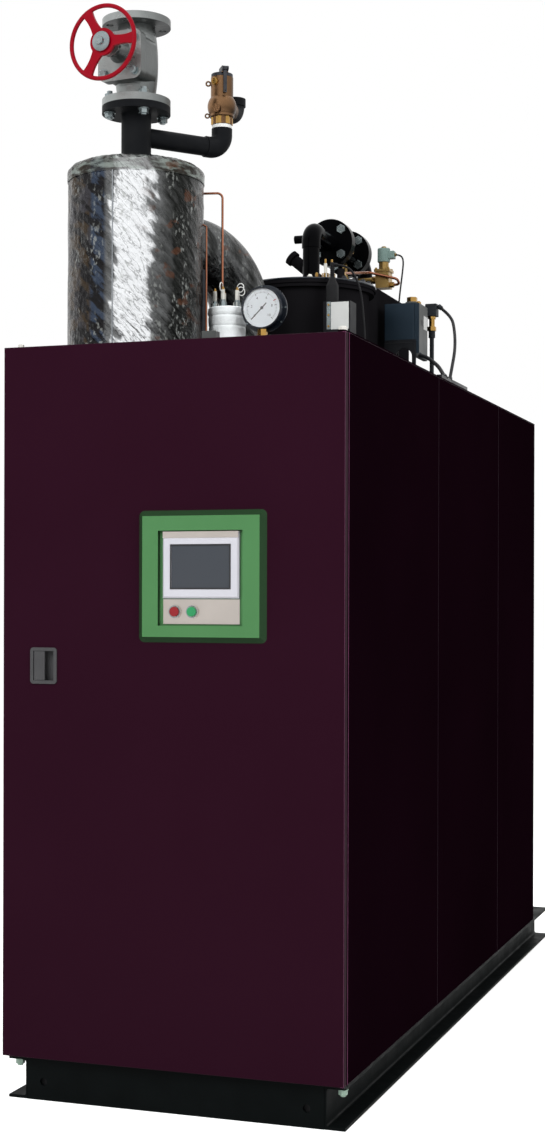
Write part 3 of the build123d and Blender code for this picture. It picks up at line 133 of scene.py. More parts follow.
def connect(tree, value, socket):
    """Links a socket to another one, or sets it where the value is a number, a vector or a colour."""
    if isinstance(value, bpy.types.NodeSocket):
        tree.links.new(value, socket)
    else:
        socket.default_value = opaque(value) if socket.type == "RGBA" else value


def get_place(tree, kind="Object"):
    return tree.nodes.new("ShaderNodeTexCoord").outputs[kind]


def add_noise(tree, vector, scale, detail):
    """A noise texture whose scale may be a number or a socket."""
    texture = tree.nodes.new("ShaderNodeTexNoise")
    texture.inputs["Detail"].default_value = detail
    tree.links.new(vector, texture.inputs["Vector"])
    connect(tree, scale, texture.inputs["Scale"])
    return texture.outputs["Fac"]


def add_spread(tree, value, low, high):
    """Stretches the middle of a mask to the whole range from 0 to 1."""
    ramp = tree.nodes.new("ShaderNodeMapRange")
    ramp.inputs["From Min"].default_value = low
    ramp.inputs["From Max"].default_value = high
    tree.links.new(value, ramp.inputs["Value"])
    return ramp.outputs["Result"]


def add_math(tree, operation, first, second):
    node = tree.nodes.new("ShaderNodeMath")
    node.operation = operation
    for socket, value in zip(node.inputs, (first, second)):
        connect(tree, value, socket)
    return node.outputs["Value"]


def add_vector_math(tree, operation, *values):
    node = tree.nodes.new("ShaderNodeVectorMath")
    node.operation = operation
    for socket, value in zip(node.inputs, values):
        connect(tree, value, socket)
    return node.outputs["Value" if operation == "DOT_PRODUCT" else "Vector"]


def add_mix(tree, factor, first, second):
    """Two colours mixed by a factor."""
    node = tree.nodes.new("ShaderNodeMix")
    node.data_type = "RGBA"
    for label, value in (("Factor", factor), ("A", first), ("B", second)):
        connect(tree, value, node.inputs[label])
    return node.outputs["Result"]


def make_patches_group():
    """Two colours in soft patches, as on paint and metal that has been handled."""
    tree, given, made = new_group(
        "patches",
        (
            ("Colour", "Color", (0.5, 0.5, 0.5, 1)),
            ("Tint", "Color", (0.4, 0.4, 0.4, 1)),
            ("Scale", "Float", 8.0),
            ("Amount", "Float", 0.5),
        ),
        (("Colour", "Color"), ("Mask", "Float")),
    )
    mask = add_spread(tree, add_noise(tree, get_place(tree), given.outputs["Scale"], 4), 0.35, 0.7)
    amount = add_math(tree, "MULTIPLY", mask, given.outputs["Amount"])
    mixed = add_mix(tree, amount, given.outputs["Colour"], given.outputs["Tint"])
    tree.links.new(mixed, made.inputs["Colour"])
    tree.links.new(mask, made.inputs["Mask"])
    return tree


def make_grain_group():
    """The height of a fine skin, and a roughness that varies a little over the surface."""
    tree, given, made = new_group(
        "grain",
        (
            ("Scale", "Float", 200.0),
            ("Roughness", "Float", 0.4),
            ("Variation", "Float", 0.1),
        ),
        (("Height", "Float"), ("Roughness", "Float")),
    )
    place = get_place(tree)
    height = add_noise(tree, place, given.outputs["Scale"], 2)
    slow = add_spread(tree, add_noise(tree, place, 14.0, 5), 0.3, 0.7)
    shift = add_math(tree, "MULTIPLY", add_math(tree, "SUBTRACT", slow, 0.5), given.outputs["Variation"])
    tree.links.new(height, made.inputs["Height"])
    tree.links.new(add_math(tree, "ADD", given.outputs["Roughness"], shift), made.inputs["Roughness"])
    return tree


def make_streaks_group():
    """Fine lines along one direction, as on brushed or rolled metal."""
    tree, given, made = new_group(
        "streaks",
        (("Stretch", "Vector", (400.0, 400.0, 8.0)),),
        (("Height", "Float"),),
    )
    scaled = add_vector_math(tree, "MULTIPLY", get_place(tree), given.outputs["Stretch"])
    tree.links.new(add_noise(tree, scaled, 1.0, 3), made.inputs["Height"])
    return tree


PATCHES = make_patches_group()
GRAIN = make_grain_group()
STREAKS = make_streaks_group()


def place_group(tree, group, **values):
    node = tree.nodes.new("ShaderNodeGroup")
    node.node_tree = group
    set_inputs(node, values)
    return node


def add_bump(tree, height, shader, depth):
    bump = tree.nodes.new("ShaderNodeBump")
    bump.inputs["Distance"].default_value = depth
    tree.links.new(height, bump.inputs["Height"])
    tree.links.new(bump.outputs["Normal"], shader.inputs["Normal"])


def new_material(name):
    material = bpy.data.materials.new(name)
    material.use_nodes = True
    return material, material.node_tree, material.node_tree.nodes["Principled BSDF"]


def set_inputs(node, values):
    for label, value in values.items():
        node.inputs[label].default_value = value


def make_finish(
    name, colour, tint, patch_scale=8.0, roughness=0.4, specular=0.5, metallic=0.0, coat=0.0,
    variation=0.12, grain_scale=220.0, grain_depth=0.0002,
    shade=1.0, toward=(-0.42, -0.48, 0.77), band=(-0.65, 0.45),
):
    """A finish of two close colours in patches, with a fine skin and an uneven gloss.

    Where shade is below 1, faces that turn away from the given direction, the direction of the light, get
    painted shade.
    """
    material, tree, shader = new_material(name)
    patches = place_group(
        tree, PATCHES, Colour=opaque(colour), Tint=opaque(tint), Scale=patch_scale, Amount=PATCH_AMOUNT
    )
    grain = place_group(tree, GRAIN, Scale=grain_scale, Roughness=roughness, Variation=variation)
    tone = patches.outputs["Colour"]
    # Painted shade: faces turned away from the light's direction take a darker copy of the colour
    if shade < 1.0:
        facing = add_vector_math(tree, "DOT_PRODUCT", get_place(tree, "Normal"), toward)
        darker = tuple(part * shade for part in colour)
        tone = add_mix(tree, add_spread(tree, facing, *band), darker, tone)
    tree.links.new(tone, shader.inputs["Base Color"])
    tree.links.new(grain.outputs["Roughness"], shader.inputs["Roughness"])
    add_bump(tree, grain.outputs["Height"], shader, grain_depth)
    set_inputs(shader, {
        "Metallic": metallic, "Coat Weight": coat, "Coat Roughness": COAT_ROUGHNESS,
        "Specular IOR Level": specular,
    })
    return material


def make_brushed(name, colour, tint, stretch, roughness=0.35, depth=0.00008):
    """A brushed metal: streaks along one direction over patches of two close colours."""
    material = make_finish(name, colour, tint, roughness=roughness, metallic=1.0)
    tree = material.node_tree
    streaks = place_group(tree, STREAKS, Stretch=stretch)
    add_bump(tree, streaks.outputs["Height"], tree.nodes["Principled BSDF"], depth)
    return material


def make_glass(name):
    material, _, shader = new_material(name)
    set_inputs(shader, {
        "Base Color": (1, 1, 1, 1), "Roughness": 0.02, "Transmission Weight": 1.0, "IOR": 1.45,
    })
    return material


def make_foil(name):
    """Crinkled foil: painted reflections in dark and light bands down the tower, broken by sharp folds with
    painted shade in their creases, painted glints, and worn patches.
    """
    material, tree, shader = new_material(name)
    place = get_place(tree)
    calc = partial(add_math, tree)
    vector = partial(add_vector_math, tree)
    spread = partial(add_spread, tree)
    mixed = partial(add_mix, tree)

    def stretched(scale, detail):
        return add_noise(tree, vector("MULTIPLY", place, scale), 1.0, detail)

    # Noise stretched along a slope that runs down to the right
    parts = tree.nodes.new("ShaderNodeCombineXYZ")
    for socket, slope in zip(parts.inputs, FOIL_SLOPE):
        tree.links.new(vector("DOT_PRODUCT", place, slope), socket)
    slopes = add_noise(tree, parts.outputs["Vector"], 1.0, 5)
    folds = stretched((26, 26, 9), 6)
    fine = stretched((120, 120, 70), 5)

    # Painted reflections in bands across the view, shifted by the folds
    flat = vector("MULTIPLY", vector("SUBTRACT", place, tuple(TOWER_AXIS)), (1, 1, 0))
    across = vector("DOT_PRODUCT", vector("NORMALIZE", flat), FOIL_ACROSS)
    ramp = tree.nodes.new("ShaderNodeValToRGB")
    bands = ramp.color_ramp
    for element, shade in zip(bands.elements, FOIL_REFLECTION_ENDS):
        element.color = opaque([shade] * 3)
    for at, shade in FOIL_REFLECTION_BANDS:
        bands.elements.new(at).color = opaque([shade] * 3)
    shift = calc("ADD", calc("SUBTRACT", slopes, 0.5), calc("SUBTRACT", folds, 0.5))
    placed = calc("ADD", calc("MULTIPLY", across, 0.5), 0.5)
    tree.links.new(calc("ADD", placed, calc("MULTIPLY", shift, FOIL_SHIFT)), ramp.inputs["Fac"])
    tone = mixed(ramp.outputs["Color"], (0.014, 0.015, 0.014), (0.92, 0.94, 0.96))

    # Painted shade in the creases where the slopes turn
    crease_shade = spread(calc("ABSOLUTE", calc("SUBTRACT", slopes, 0.5), 0.0), 0.004, 0.022)
    tone = mixed(calc("MULTIPLY", calc("SUBTRACT", 1.0, crease_shade), 0.6), tone, (0.055, 0.058, 0.055))

    # Brown and blue reflections on the left
    blotch = spread(stretched((14, 14, 10), 4), 0.52, 0.58)
    outer = calc("MULTIPLY", spread(across, -0.68, -0.63), 0.85)
    blue = calc("MAXIMUM", calc("MULTIPLY", blotch, 0.35), outer)
    dark = mixed(blue, (0.046, 0.031, 0.018), (0.04, 0.062, 0.105))
    dark = mixed(spread(slopes, 0.46, 0.54), (0.012, 0.011, 0.012), dark)
    tone = mixed(calc("MULTIPLY", spread(across, -0.42, -0.47), 0.92), tone, dark)

    # Painted glints on small facets, the torn cap, and rust on the right
    painted_glints = calc("MULTIPLY", spread(fine, 0.55, 0.62), spread(folds, 0.5, 0.62))
    tone = mixed(calc("MULTIPLY", painted_glints, 0.5), tone, (0.42, 0.44, 0.42))
    height = tree.nodes.new("ShaderNodeSeparateXYZ")
    tree.links.new(place, height.inputs["Vector"])
    on_cap = spread(height.outputs["Z"], TOWER_HIGH.z - 0.047, TOWER_HIGH.z - 0.044)
    torn = spread(stretched((30, 30, 110), 5), 0.44, 0.64)
    cap_tone = mixed(torn, (0.036, 0.031, 0.025), (0.3, 0.345, 0.315))
    tone = mixed(calc("MULTIPLY", on_cap, 0.7), tone, cap_tone)
    worn = spread(stretched((20, 20, 24), 5), 0.61, 0.65)
    rusty = calc("MULTIPLY", calc("MULTIPLY", worn, spread(across, 0.0, 0.4)), 0.55)
    tone = mixed(rusty, tone, (0.11, 0.042, 0.02))

    tree.links.new(tone, shader.inputs["Base Color"])
    grain = place_group(tree, GRAIN, Scale=140.0, Roughness=0.24, Variation=0.16)
    tree.links.new(grain.outputs["Roughness"], shader.inputs["Roughness"])
    add_bump(tree, calc("ADD", slopes, calc("MULTIPLY", fine, 0.25)), shader, FOIL_FOLD_DEPTH)
    shader.inputs["Metallic"].default_value = 0.95
    return material


def limit_finish(finish, plain, axis, low, high):
    """Fades the finish in along an axis, from a plain colour at low to its own colours at high."""
    tree = finish.node_tree
    shader = tree.nodes["Principled BSDF"]
    place = tree.nodes.new("ShaderNodeSeparateXYZ")
    tree.links.new(get_place(tree), place.inputs["Vector"])
    inside = add_spread(tree, place.outputs[axis], low, high)
    own = shader.inputs["Base Color"].links[0].from_socket
    tree.links.new(add_mix(tree, inside, plain, own), shader.inputs["Base Color"])


SIDE_PANELS = [
    "side_panel_" + hand + "_" + part for hand in ("left", "right") for part in ("front", "middle", "rear")
]
BASE_CHANNELS = ["base_channel_" + side for side in ("front", "left", "rear", "right")]

# Each finish of the boiler: its name, the record's material slot, its two colours, its surface, and the CAD
# nodes that have it. The surface is the scale of the patches, roughness, specular, metallic, coat, variation
# of the roughness, and scale and depth of the grain, as far as they differ from what make_finish has
FINISH_ROWS = (
    ("door_paint", "front_paint", (0.0168, 0.0032, 0.0088), (0.019, 0.0038, 0.0102),
     (3, 0.5, 0.02, 0, 0, 0.06, 420, 0.0001), "front_door"),
    # panel_paint is the door's paint in a darker copy: painted shade on the side, rear and roof panels
    ("panel_paint", "panel_paint", (0.0042, 0.001, 0.0026), (0.0062, 0.0015, 0.0038),
     (1.5, 0.6, 0, 0, 0, 0.06, 420, 0.0001), "rear_panel", "roof_panel", *SIDE_PANELS),
    # door_edge: a painted highlight on the rounded edge of the door
    ("door_edge", "", (0.27, 0.075, 0.18), (0.2, 0.055, 0.13),
     (9, 0.3, 0.2)),
    # panel_edge: a painted highlight on the rounded edges of the side panels
    ("panel_edge", "", (0.2, 0.055, 0.13), (0.05, 0.014, 0.034),
     (9, 0.3, 0.1)),
    ("base_paint", "base_steel", (0.002, 0.0028, 0.0029), (0.004, 0.0053, 0.0054),
     (14, 0.5, 0.04, 0, 0, 0.2, 160, 0.0004), "cabinet_floor", "door_frame", *BASE_CHANNELS),
    ("galvanised", "bare_steel", (0.3, 0.32, 0.34), (0.46, 0.48, 0.5),
     (40, 0.42, 0.5, 0.9, 0, 0.12, 220, 0.0001), "control_bulkhead", "boiler_body", "flue_collar"),
    ("black_pipe", "black_pipe", (0.0062, 0.0068, 0.008), (0.011, 0.0115, 0.0125),
     (20, 0.5, 0.06, 0, 0, 0.18, 180, 0.0003), "steam_riser", "safety_valve_outlet"),
    ("gas_black", "", (0.0012, 0.0012, 0.0016), (0.0024, 0.0024, 0.003),
     (20, 0.16, 0.035, 0, 0, 0.06, 180), "gas_riser", "gas_valve", "gas_drop_pipe"),
    ("satin_black", "black_pipe", (0.0085, 0.0092, 0.011), (0.016, 0.017, 0.019),
     (20, 0.3, 0.12, 0, 0, 0.18, 180), "motor_bracket", "gauge_stand", "cable_trunking"),
    ("silver_casting", "valve_silver", (0.32, 0.34, 0.335), (0.44, 0.46, 0.455),
     (26, 0.34, 0.5, 0.9, 0, 0.2, 260, 0.0008), "steam_valve_body", "steam_valve_bonnet"),
    ("wheel_red", "wheel_red", (0.205, 0.0004, 0.0065), (0.24, 0.0008, 0.009),
     (30, 0.3, 0.12, 0, 0, 0.1, 90, 0.0003), "handwheel"),
    ("bronze", "bronze", (0.235, 0.128, 0.062), (0.3, 0.168, 0.086),
     (34, 0.32, 0.5, 0.9, 0, 0.15, 240, 0.0004), "safety_valve_body"),
    ("dark_metal", "dark_metal", (0.03, 0.032, 0.038), (0.07, 0.072, 0.08),
     (40, 0.38, 0.5, 0.7), "safety_valve_lever"),
    ("zinc", "bare_steel", (0.34, 0.39, 0.4), (0.2, 0.25, 0.26),
     (60, 0.28, 0.5, 0.95)),
    ("pot_wrap", "pot_white", (0.88, 0.92, 0.93), (0.8, 0.84, 0.85),
     (24, 0.8, 0.2, 0, 0, 0.1, 500, 0.001), "electrode_pot"),
    ("ceramic", "ceramic_white", (0.68, 0.67, 0.62), (0.55, 0.54, 0.5),
     (50, 0.2, 0.5, 0, 0.3), "level_electrodes", "igniters"),
    ("tape", "pot_white", (0.76, 0.77, 0.75), (0.62, 0.63, 0.61),
     (80, 0.6)),
    ("copper", "copper", (0.44, 0.175, 0.1), (0.31, 0.12, 0.07),
     (44, 0.3, 0.5, 1, 0, 0.2, 220, 0.0001), "balance_tube", "pilot_tube"),
    ("brass", "bronze", (0.52, 0.31, 0.085), (0.34, 0.2, 0.065),
     (60, 0.26, 0.5, 1, 0, 0.15, 220, 0.0001)),
    ("gauge_case", "gauge_black", (0.006, 0.009, 0.015), (0.012, 0.016, 0.024),
     (8, 0.26, 0.3, 0, 0.15), "pressure_gauge_case"),
    ("dial_white", "gauge_black", (0.76, 0.8, 0.83), (0.72, 0.76, 0.79),
     (8, 0.5, 0.5, 0, 0, 0.12, 220, 2e-05)),
    ("print_black", "pointer", (0.006, 0.006, 0.007), (0.012, 0.012, 0.014),
     (8, 0.5, 0.5, 0, 0, 0.12, 220, 2e-05), "pressure_gauge_pointer"),
    ("mark_red", "red", (0.45, 0.006, 0.006), (0.35, 0.006, 0.006),
     (8, 0.5, 0.5, 0, 0, 0.12, 220, 2e-05)),
    ("lid_gloss", "drum_black", (0.004, 0.008, 0.014), (0.006, 0.011, 0.018),
     (8, 0.12, 0.5, 0, 0.2, 0.04)),
    ("drum_enamel", "drum_black", (0.0085, 0.008, 0.0092), (0.0125, 0.012, 0.0135),
     (6, 0.14, 0, 0, 0, 0.08, 30, 0.0003), "burner_drum", "drum_lid"),
    ("solenoid_brass", "solenoid", (0.38, 0.25, 0.085), (0.26, 0.17, 0.06),
     (50, 0.32, 0.5, 0.9), "pilot_solenoid"),
    ("coil_green", "solenoid", (0.16, 0.235, 0.215), (0.12, 0.18, 0.165),
     (40, 0.4, 0.3)),
    ("motor_cover", "motor_blue", (0.0085, 0.017, 0.026), (0.014, 0.024, 0.036),
     (18, 0.42, 0.2), "control_motor"),
    ("side_grey", "motor_blue", (0.05, 0.054, 0.053), (0.07, 0.074, 0.072),
     (20, 0.45, 0.3)),
    ("label_pale", "transformer", (0.58, 0.59, 0.58), (0.52, 0.53, 0.52),
     (30, 0.4, 0.3)),
    ("switch_plastic", "switch_dark", (0.01, 0.012, 0.015), (0.02, 0.023, 0.026),
     (30, 0.5, 0.2), "pressure_switch"),
    ("transformer_black", "", (0.006, 0.006, 0.008), (0.012, 0.012, 0.015),
     (20, 0.45, 0.15), "ignition_transformer"),
    ("rubber", "rubber", (0.008, 0.008, 0.009), (0.016, 0.016, 0.017),
     (40, 0.6, 0.2, 0, 0, 0.12, 400, 0.0003), "ignition_boot"),
    ("surround_green", "", (0.056, 0.165, 0.06), (0.064, 0.182, 0.068),
     (5, 0.42, 0.15, 0, 0, 0.06, 500, 8e-05), "panel_surround"),
    ("bezel_silver", "bezel_silver", (0.49, 0.49, 0.53), (0.45, 0.45, 0.49),
     (8, 0.4, 0.2, 0, 0, 0.12, 600, 4e-05), "touch_unit_bezel"),
    ("screen_dark", "screen", (0.034, 0.04, 0.05), (0.045, 0.049, 0.056),
     (5, 0.2, 0.25, 0, 0.1, 0.04, 220, 1e-05), "touch_screen"),
    ("button_red", "", (0.22, 0.012, 0.016), (0.18, 0.01, 0.013),
     (60, 0.34, 0.25, 0, 0.1), "stop_button"),
    ("button_green", "", (0.022, 0.23, 0.085), (0.02, 0.19, 0.07),
     (60, 0.34, 0.25, 0, 0.1), "start_button"),
    ("bolt_green", "bare_steel", (0.3, 0.42, 0.34), (0.22, 0.32, 0.26),
     (60, 0.4, 0.5, 0.3)),
    ("handle_plastic", "handle_grey", (0.045, 0.045, 0.047), (0.056, 0.056, 0.058),
     (30, 0.5, 0.25, 0, 0, 0.12, 900, 0.0001), "handle_bowl", "handle_paddle"),
)

# Painted shade, where a finish is darker on faces turned away from the light: the share that is left, and
# the light's direction and band
PAINTED_SHADES = {
    "silver_casting": {"shade": 0.2},
    "bronze": {"shade": 0.22},
    "surround_green": {"shade": 0.22, "toward": (0, -1, 0), "band": (0.86, 0.97)},
}
FINISHES = {}


def use_finish(name, material, nodes):
    """Keeps a finish by its name, and gives it to CAD nodes."""
    FINISHES[name] = material
    for node in nodes:
        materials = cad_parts[node].data.materials
        materials.clear()
        materials.append(material)


for name, slot, colour, tint, surface, *nodes in FINISH_ROWS:
    use_finish(name, make_finish(name, colour, tint, *surface, **PAINTED_SHADES.get(name, {})), nodes)
use_finish("foil", make_foil("foil"), ("separator_jacket", "crossover_duct"))
use_finish("glass", make_glass("gauge_glass"), ("pressure_gauge_glass",))
plate_brushed = make_brushed("plate_brushed", (0.58, 0.53, 0.49), (0.68, 0.62, 0.57), (4.0, 400.0, 700.0))
use_finish("plate_brushed", plate_brushed, ("button_plate",))
# The door's painted highlight is kept to its right edge; elsewhere its rounded edges have the door's own
# colour
limit_finish(FINISHES["door_edge"], (0.0168, 0.0032, 0.0088), "X", 0.416, 0.42)
# The side panels' painted highlight is kept to their front edges; elsewhere their rounded edges stay a plain
# dark colour
limit_finish(FINISHES["panel_edge"], (0.012, 0.003, 0.008), "Y", -1.19, -1.205)


# Shapes that the detail pieces are built from

UP = Vector((0, 0, 1))
BACK = Vector((0, 1, 0))
LATHE_STEPS = 220
SHARP_ANGLE = math.radians(35)
BEVEL_ANGLE = math.radians(40)


def add_object(name, data):
    holder = bpy.data.objects.new(name, data)
    bpy.context.scene.collection.objects.link(holder)
    return holder


def add_rod(shape, start, end, radius, tip=None, segments=28):
    """A round bar between two points, tapered where its tip has a radius of its own."""
    start, end = Vector(start), Vector(end)
    axis = end - start
    matrix = Matrix.Translation((start + end) / 2) @ axis.to_track_quat("Z", "Y").to_matrix().to_4x4()
    bmesh.ops.create_cone(
        shape, cap_ends=True, segments=segments, radius1=radius,
        radius2=radius if tip is None else tip, depth=axis.length, matrix=matrix,
    )


def add_post(shape, foot, low, high, radius, tip=None, segments=28):
    """An upright round bar over its foot, from a low to a high level."""
    add_rod(shape, foot + UP * low, foot + UP * high, radius, tip, segments)


def add_block(shape, low, high):
    """A box between two opposite corners."""
    low, high = Vector(low), Vector(high)
    matrix = Matrix.Translation((low + high) / 2) @ Matrix.Diagonal((*(high - low), 1))
    return bmesh.ops.create_cube(shape, size=1.0, matrix=matrix)["verts"]


def add_nut(shape, place, axis, flats, height):
    """A hexagon that stands on its place along its axis."""
    place = Vector(place)
    add_rod(shape, place, place + Vector(axis) * height, flats / math.sqrt(3), segments=6)


def add_bolt(shape, place, axis, flats, head, end=0.0):
    """A hexagon on a washer, with the bolt's end standing out of it where it has one."""
    place, axis = Vector(place), Vector(axis)
    washer = head / 6
    add_rod(shape, place, place + axis * washer, flats * 0.66)
    add_nut(shape, place + axis * washer, axis, flats, head)
    top = place + axis * (washer + head)
    add_rod(shape, top, place + axis * (washer + head * 1.12), flats * 0.46, flats * 0.38)
    if end:
        add_rod(shape, place, place + axis * (washer + head + end), flats / 3)


def add_ring(shape, place, axis, radius, wire, steps=36):
    """A ring of round wire about an axis."""
    place, axis = Vector(place), Vector(axis).normalized()
    out = axis.orthogonal().normalized()
    frame_of_wire = Matrix((out, axis, out.cross(axis))).transposed().to_4x4()
    matrix = Matrix.Translation(place + out * radius) @ frame_of_wire
    circle = bmesh.ops.create_circle(shape, segments=10, radius=wire, matrix=matrix)["verts"]
    edges = list(dict.fromkeys(edge for vert in circle for edge in vert.link_edges))
    bmesh.ops.spin(
        shape, geom=circle + edges, cent=place, axis=axis, angle=2 * math.pi, steps=steps, use_merge=True,
    )


def add_lathe(shape, place, profile, steps=LATHE_STEPS):
    """A solid of revolution about an upright axis from pairs of radius and height."""
    points = [shape.verts.new(place + Vector((radius, 0, height))) for radius, height in profile]
    edges = [shape.edges.new(pair) for pair in zip(points, points[1:])]
    bmesh.ops.spin(
        shape, geom=points + edges, cent=place, axis=UP, angle=2 * math.pi, steps=steps, use_merge=True,
    )
    bmesh.ops.remove_doubles(shape, verts=shape.verts[:], dist=0.00001)


def make_piece(
    name, shape, finish, body="boiler", bevel=0.0, matrix=None, replaced=(), edge_highlight=None,
):
    """Makes the shape a piece that rides on a body and may stand for CAD nodes, and empties the shape."""
    if matrix is not None:
        bmesh.ops.transform(shape, matrix=matrix, verts=shape.verts[:])
    bmesh.ops.recalc_face_normals(shape, faces=shape.faces[:])
    for face in shape.faces:
        face.smooth = True
    mesh = bpy.data.meshes.new(name)
    shape.to_mesh(mesh)
    shape.clear()
    mesh.set_sharp_from_angle(angle=SHARP_ANGLE)
    mesh.materials.append(FINISHES[finish])
    piece = add_object(name, mesh)
    if bevel:
        modifier = piece.modifiers.new("edges", "BEVEL")
        modifier.width = bevel
        modifier.segments = 2
        modifier.limit_method = "ANGLE"
        modifier.angle_limit = BEVEL_ANGLE
        modifier.harden_normals = True
        # The rounded faces take a second finish, a painted highlight
        if edge_highlight:
            mesh.materials.append(FINISHES[edge_highlight])
            modifier.material = 1
    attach(piece, body)
    if replaced:
        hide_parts(*replaced)


def turned(angle):
    """A direction in the plan, in degrees from +X towards +Y."""
    return Vector((math.cos(math.radians(angle)), math.sin(math.radians(angle)), 0))


# Foil jacket of the tower, pressed into folds and sunk a little inside its own outline
def make_jacket(shape):
    low, high = TOWER_LOW.z, TOWER_HIGH.z
    radius = (TOWER_HIGH.x - TOWER_LOW.x) / 2
    rows = 118
    cap = 0.046
    shoulder_wide, shoulder_high = 0.034, 0.024
    dome_rows, dome_high = 30, 0.01
    profile = [(radius - 0.002, low + (high - low - cap) * row / rows) for row in range(rows + 1)]
    profile += [(radius, high - cap + (cap - shoulder_high) * row / 7) for row in range(8)]
    for turn in range(10, 100, 10):
        out, up = math.cos(math.radians(turn)), math.sin(math.radians(turn))
        profile.append((
            radius - shoulder_wide + shoulder_wide * out, high - shoulder_high + shoulder_high * up,
        ))
    for row in range(1, dome_rows + 1):
        inward = (radius - 0.072) * row / dome_rows
        profile.append((radius - shoulder_wide - inward, high + dome_high * row / dome_rows))
    add_lathe(shape, TOWER_AXIS, profile)
    for vert in shape.verts:
        out = Vector((vert.co.x, vert.co.y, 0)) - TOWER_AXIS
        around = math.atan2(out.y, out.x)
        sheet_place = Vector((out.x * 14, out.y * 14, vert.co.z * 6))
        fold = abs(noise.noise(sheet_place)) + 0.5 * abs(noise.noise(sheet_place * 3.1))
        fine = abs(noise.noise(Vector((out.x * 90, out.y * 90, vert.co.z * 60))))
        depth = 0.0032 * fold + 0.0011 * fine
        if vert.co.z > high - cap - 0.001:
            depth += 0.0018 * abs(noise.noise(Vector((around * 22, vert.co.z * 50, 3.0))))
        if vert.co.z > high - 0.0125:
            vert.co.z -= depth
        vert.co -= out.normalized() * depth
    make_piece("tower_foil", shape, "foil", replaced=("separator_jacket",))
    across = Vector(FOIL_ACROSS).normalized()
    toward = Vector((across.y, -across.x, 0))
    seam_out = across * -0.335 + toward * 0.942
    seam_foot = TOWER_AXIS + seam_out * (radius - 0.0026)
    add_post(shape, seam_foot, low, high - cap, 0.0016, segments=10)
    make_piece("tower_seam", shape, "galvanised")


# Steam stop valve: studs and nuts, bonnet bolts, and the washer and nut on the handwheel
def make_stop_valve(shape):
    low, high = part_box("steam_valve_body")
    centre = TOWER_AXIS + UP * (low.z + high.z) / 2
    front = turned(VALVE_TURN - 90)
    side = turned(VALVE_TURN)
    for quarter in range(4):
        place = TOWER_AXIS + turned(45 + VALVE_TURN + quarter * 90) * STUD_CIRCLE + UP * low.z
        add_post(shape, place, -0.035, 0.036, 0.0072)
        add_post(shape, place, -0.0205, -0.018, 0.015)
        add_nut(shape, place - UP * 0.0205, -UP, 0.022, 0.011)
        add_nut(shape, place + UP * 0.018, UP, 0.022, 0.011)
    for across in (-0.043, 0.043):
        for rise in (-0.042, 0.042):
            place = centre + side * across + UP * rise
            add_bolt(shape, place + front * 0.087, front, 0.018, 0.009)
            add_bolt(shape, place + front * 0.061, -front, 0.018, 0.009)
    make_piece("steam_valve_bolts", shape, "zinc", bevel=0.0006)
    hub = centre + front * 0.168 + UP * 0.01
    add_rod(shape, hub + front * 0.0079, hub + front * 0.0105, 0.0245)
    add_rod(shape, hub + front * 0.0105, hub + front * 0.014, 0.0245, 0.015)
    add_rod(shape, hub - front * 0.0079, hub - front * 0.0168, 0.0088)
    make_piece("wheel_washer", shape, "zinc", body="wheel", bevel=0.0005)
    add_nut(shape, hub + front * 0.014, front, 0.0195, 0.0075)
    add_rod(shape, hub + front * 0.0215, hub + front * 0.0235, 0.0064, 0.0045)
    make_piece("wheel_nut", shape, "zinc", body="wheel", bevel=0.0006)
    add_nut(shape, centre + UP * 0.01 + front * 0.1205, front, 0.0446, 0.01)
    make_piece("gland_nut", shape, "silver_casting", bevel=0.0012)


# Safety valve: tape, polished hexagon, cap and fork, wire seals
def make_safety_valve(shape):
    seat = SAFETY_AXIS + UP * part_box("safety_valve_body")[0].z
    view = Vector((0.356, -0.935, 0))
    right = Vector((0.935, 0.356, 0))
    add_post(shape, seat, 0.0002, 0.0098, 0.0258)
    make_piece("seal_tape", shape, "tape", bevel=0.0008)
    add_nut(shape, seat + UP * 0.0101, UP, 0.0508, 0.0207)
    make_piece("inlet_hexagon", shape, "brass", bevel=0.0012)
    add_post(shape, seat, 0.1342, 0.1436, 0.0286)
    make_piece("safety_cap", shape, "dark_metal", bevel=0.0012)
    for hand in (-1, 1):
        left, right_side = sorted((hand * 0.0053, hand * 0.0089))
        add_block(shape, (left, -0.035, 0.143), (right_side, -0.0255, 0.156))
        add_rod(shape, (left, -0.0345, 0.151), (right_side, -0.0345, 0.151), 0.0064)
    add_block(shape, (-0.0089, -0.0262, 0.143), (0.0089, -0.0016, 0.1574))
    fork_turn = Matrix.Translation(seat) @ Matrix.Rotation(math.radians(34), 4, "Z")
    make_piece("lever_fork", shape, "dark_metal", bevel=0.0006, matrix=fork_turn)
    screw = view * 0.8 - right * 0.6
    hole = seat + UP * 0.1195
    add_rod(shape, hole, hole + screw * 0.0335, 0.0098)
    add_ring(shape, hole + screw * 0.034, screw, 0.0072, 0.0016)
    make_piece("seal_screw", shape, "brass", bevel=0.0004)
    loop = seat + UP * 0.119 - right * 0.036
    add_ring(shape, loop, view, 0.0056, 0.0022)
    add_rod(shape, loop + right * 0.005, loop + right * 0.01 + view * 0.002, 0.002)
    drain = seat + UP * 0.0345 - right * 0.0385
    add_ring(shape, drain, view, 0.0052, 0.002)
    add_rod(shape, drain + right * 0.005, drain + right * 0.011, 0.002)
    make_piece("seal_loops", shape, "bronze")


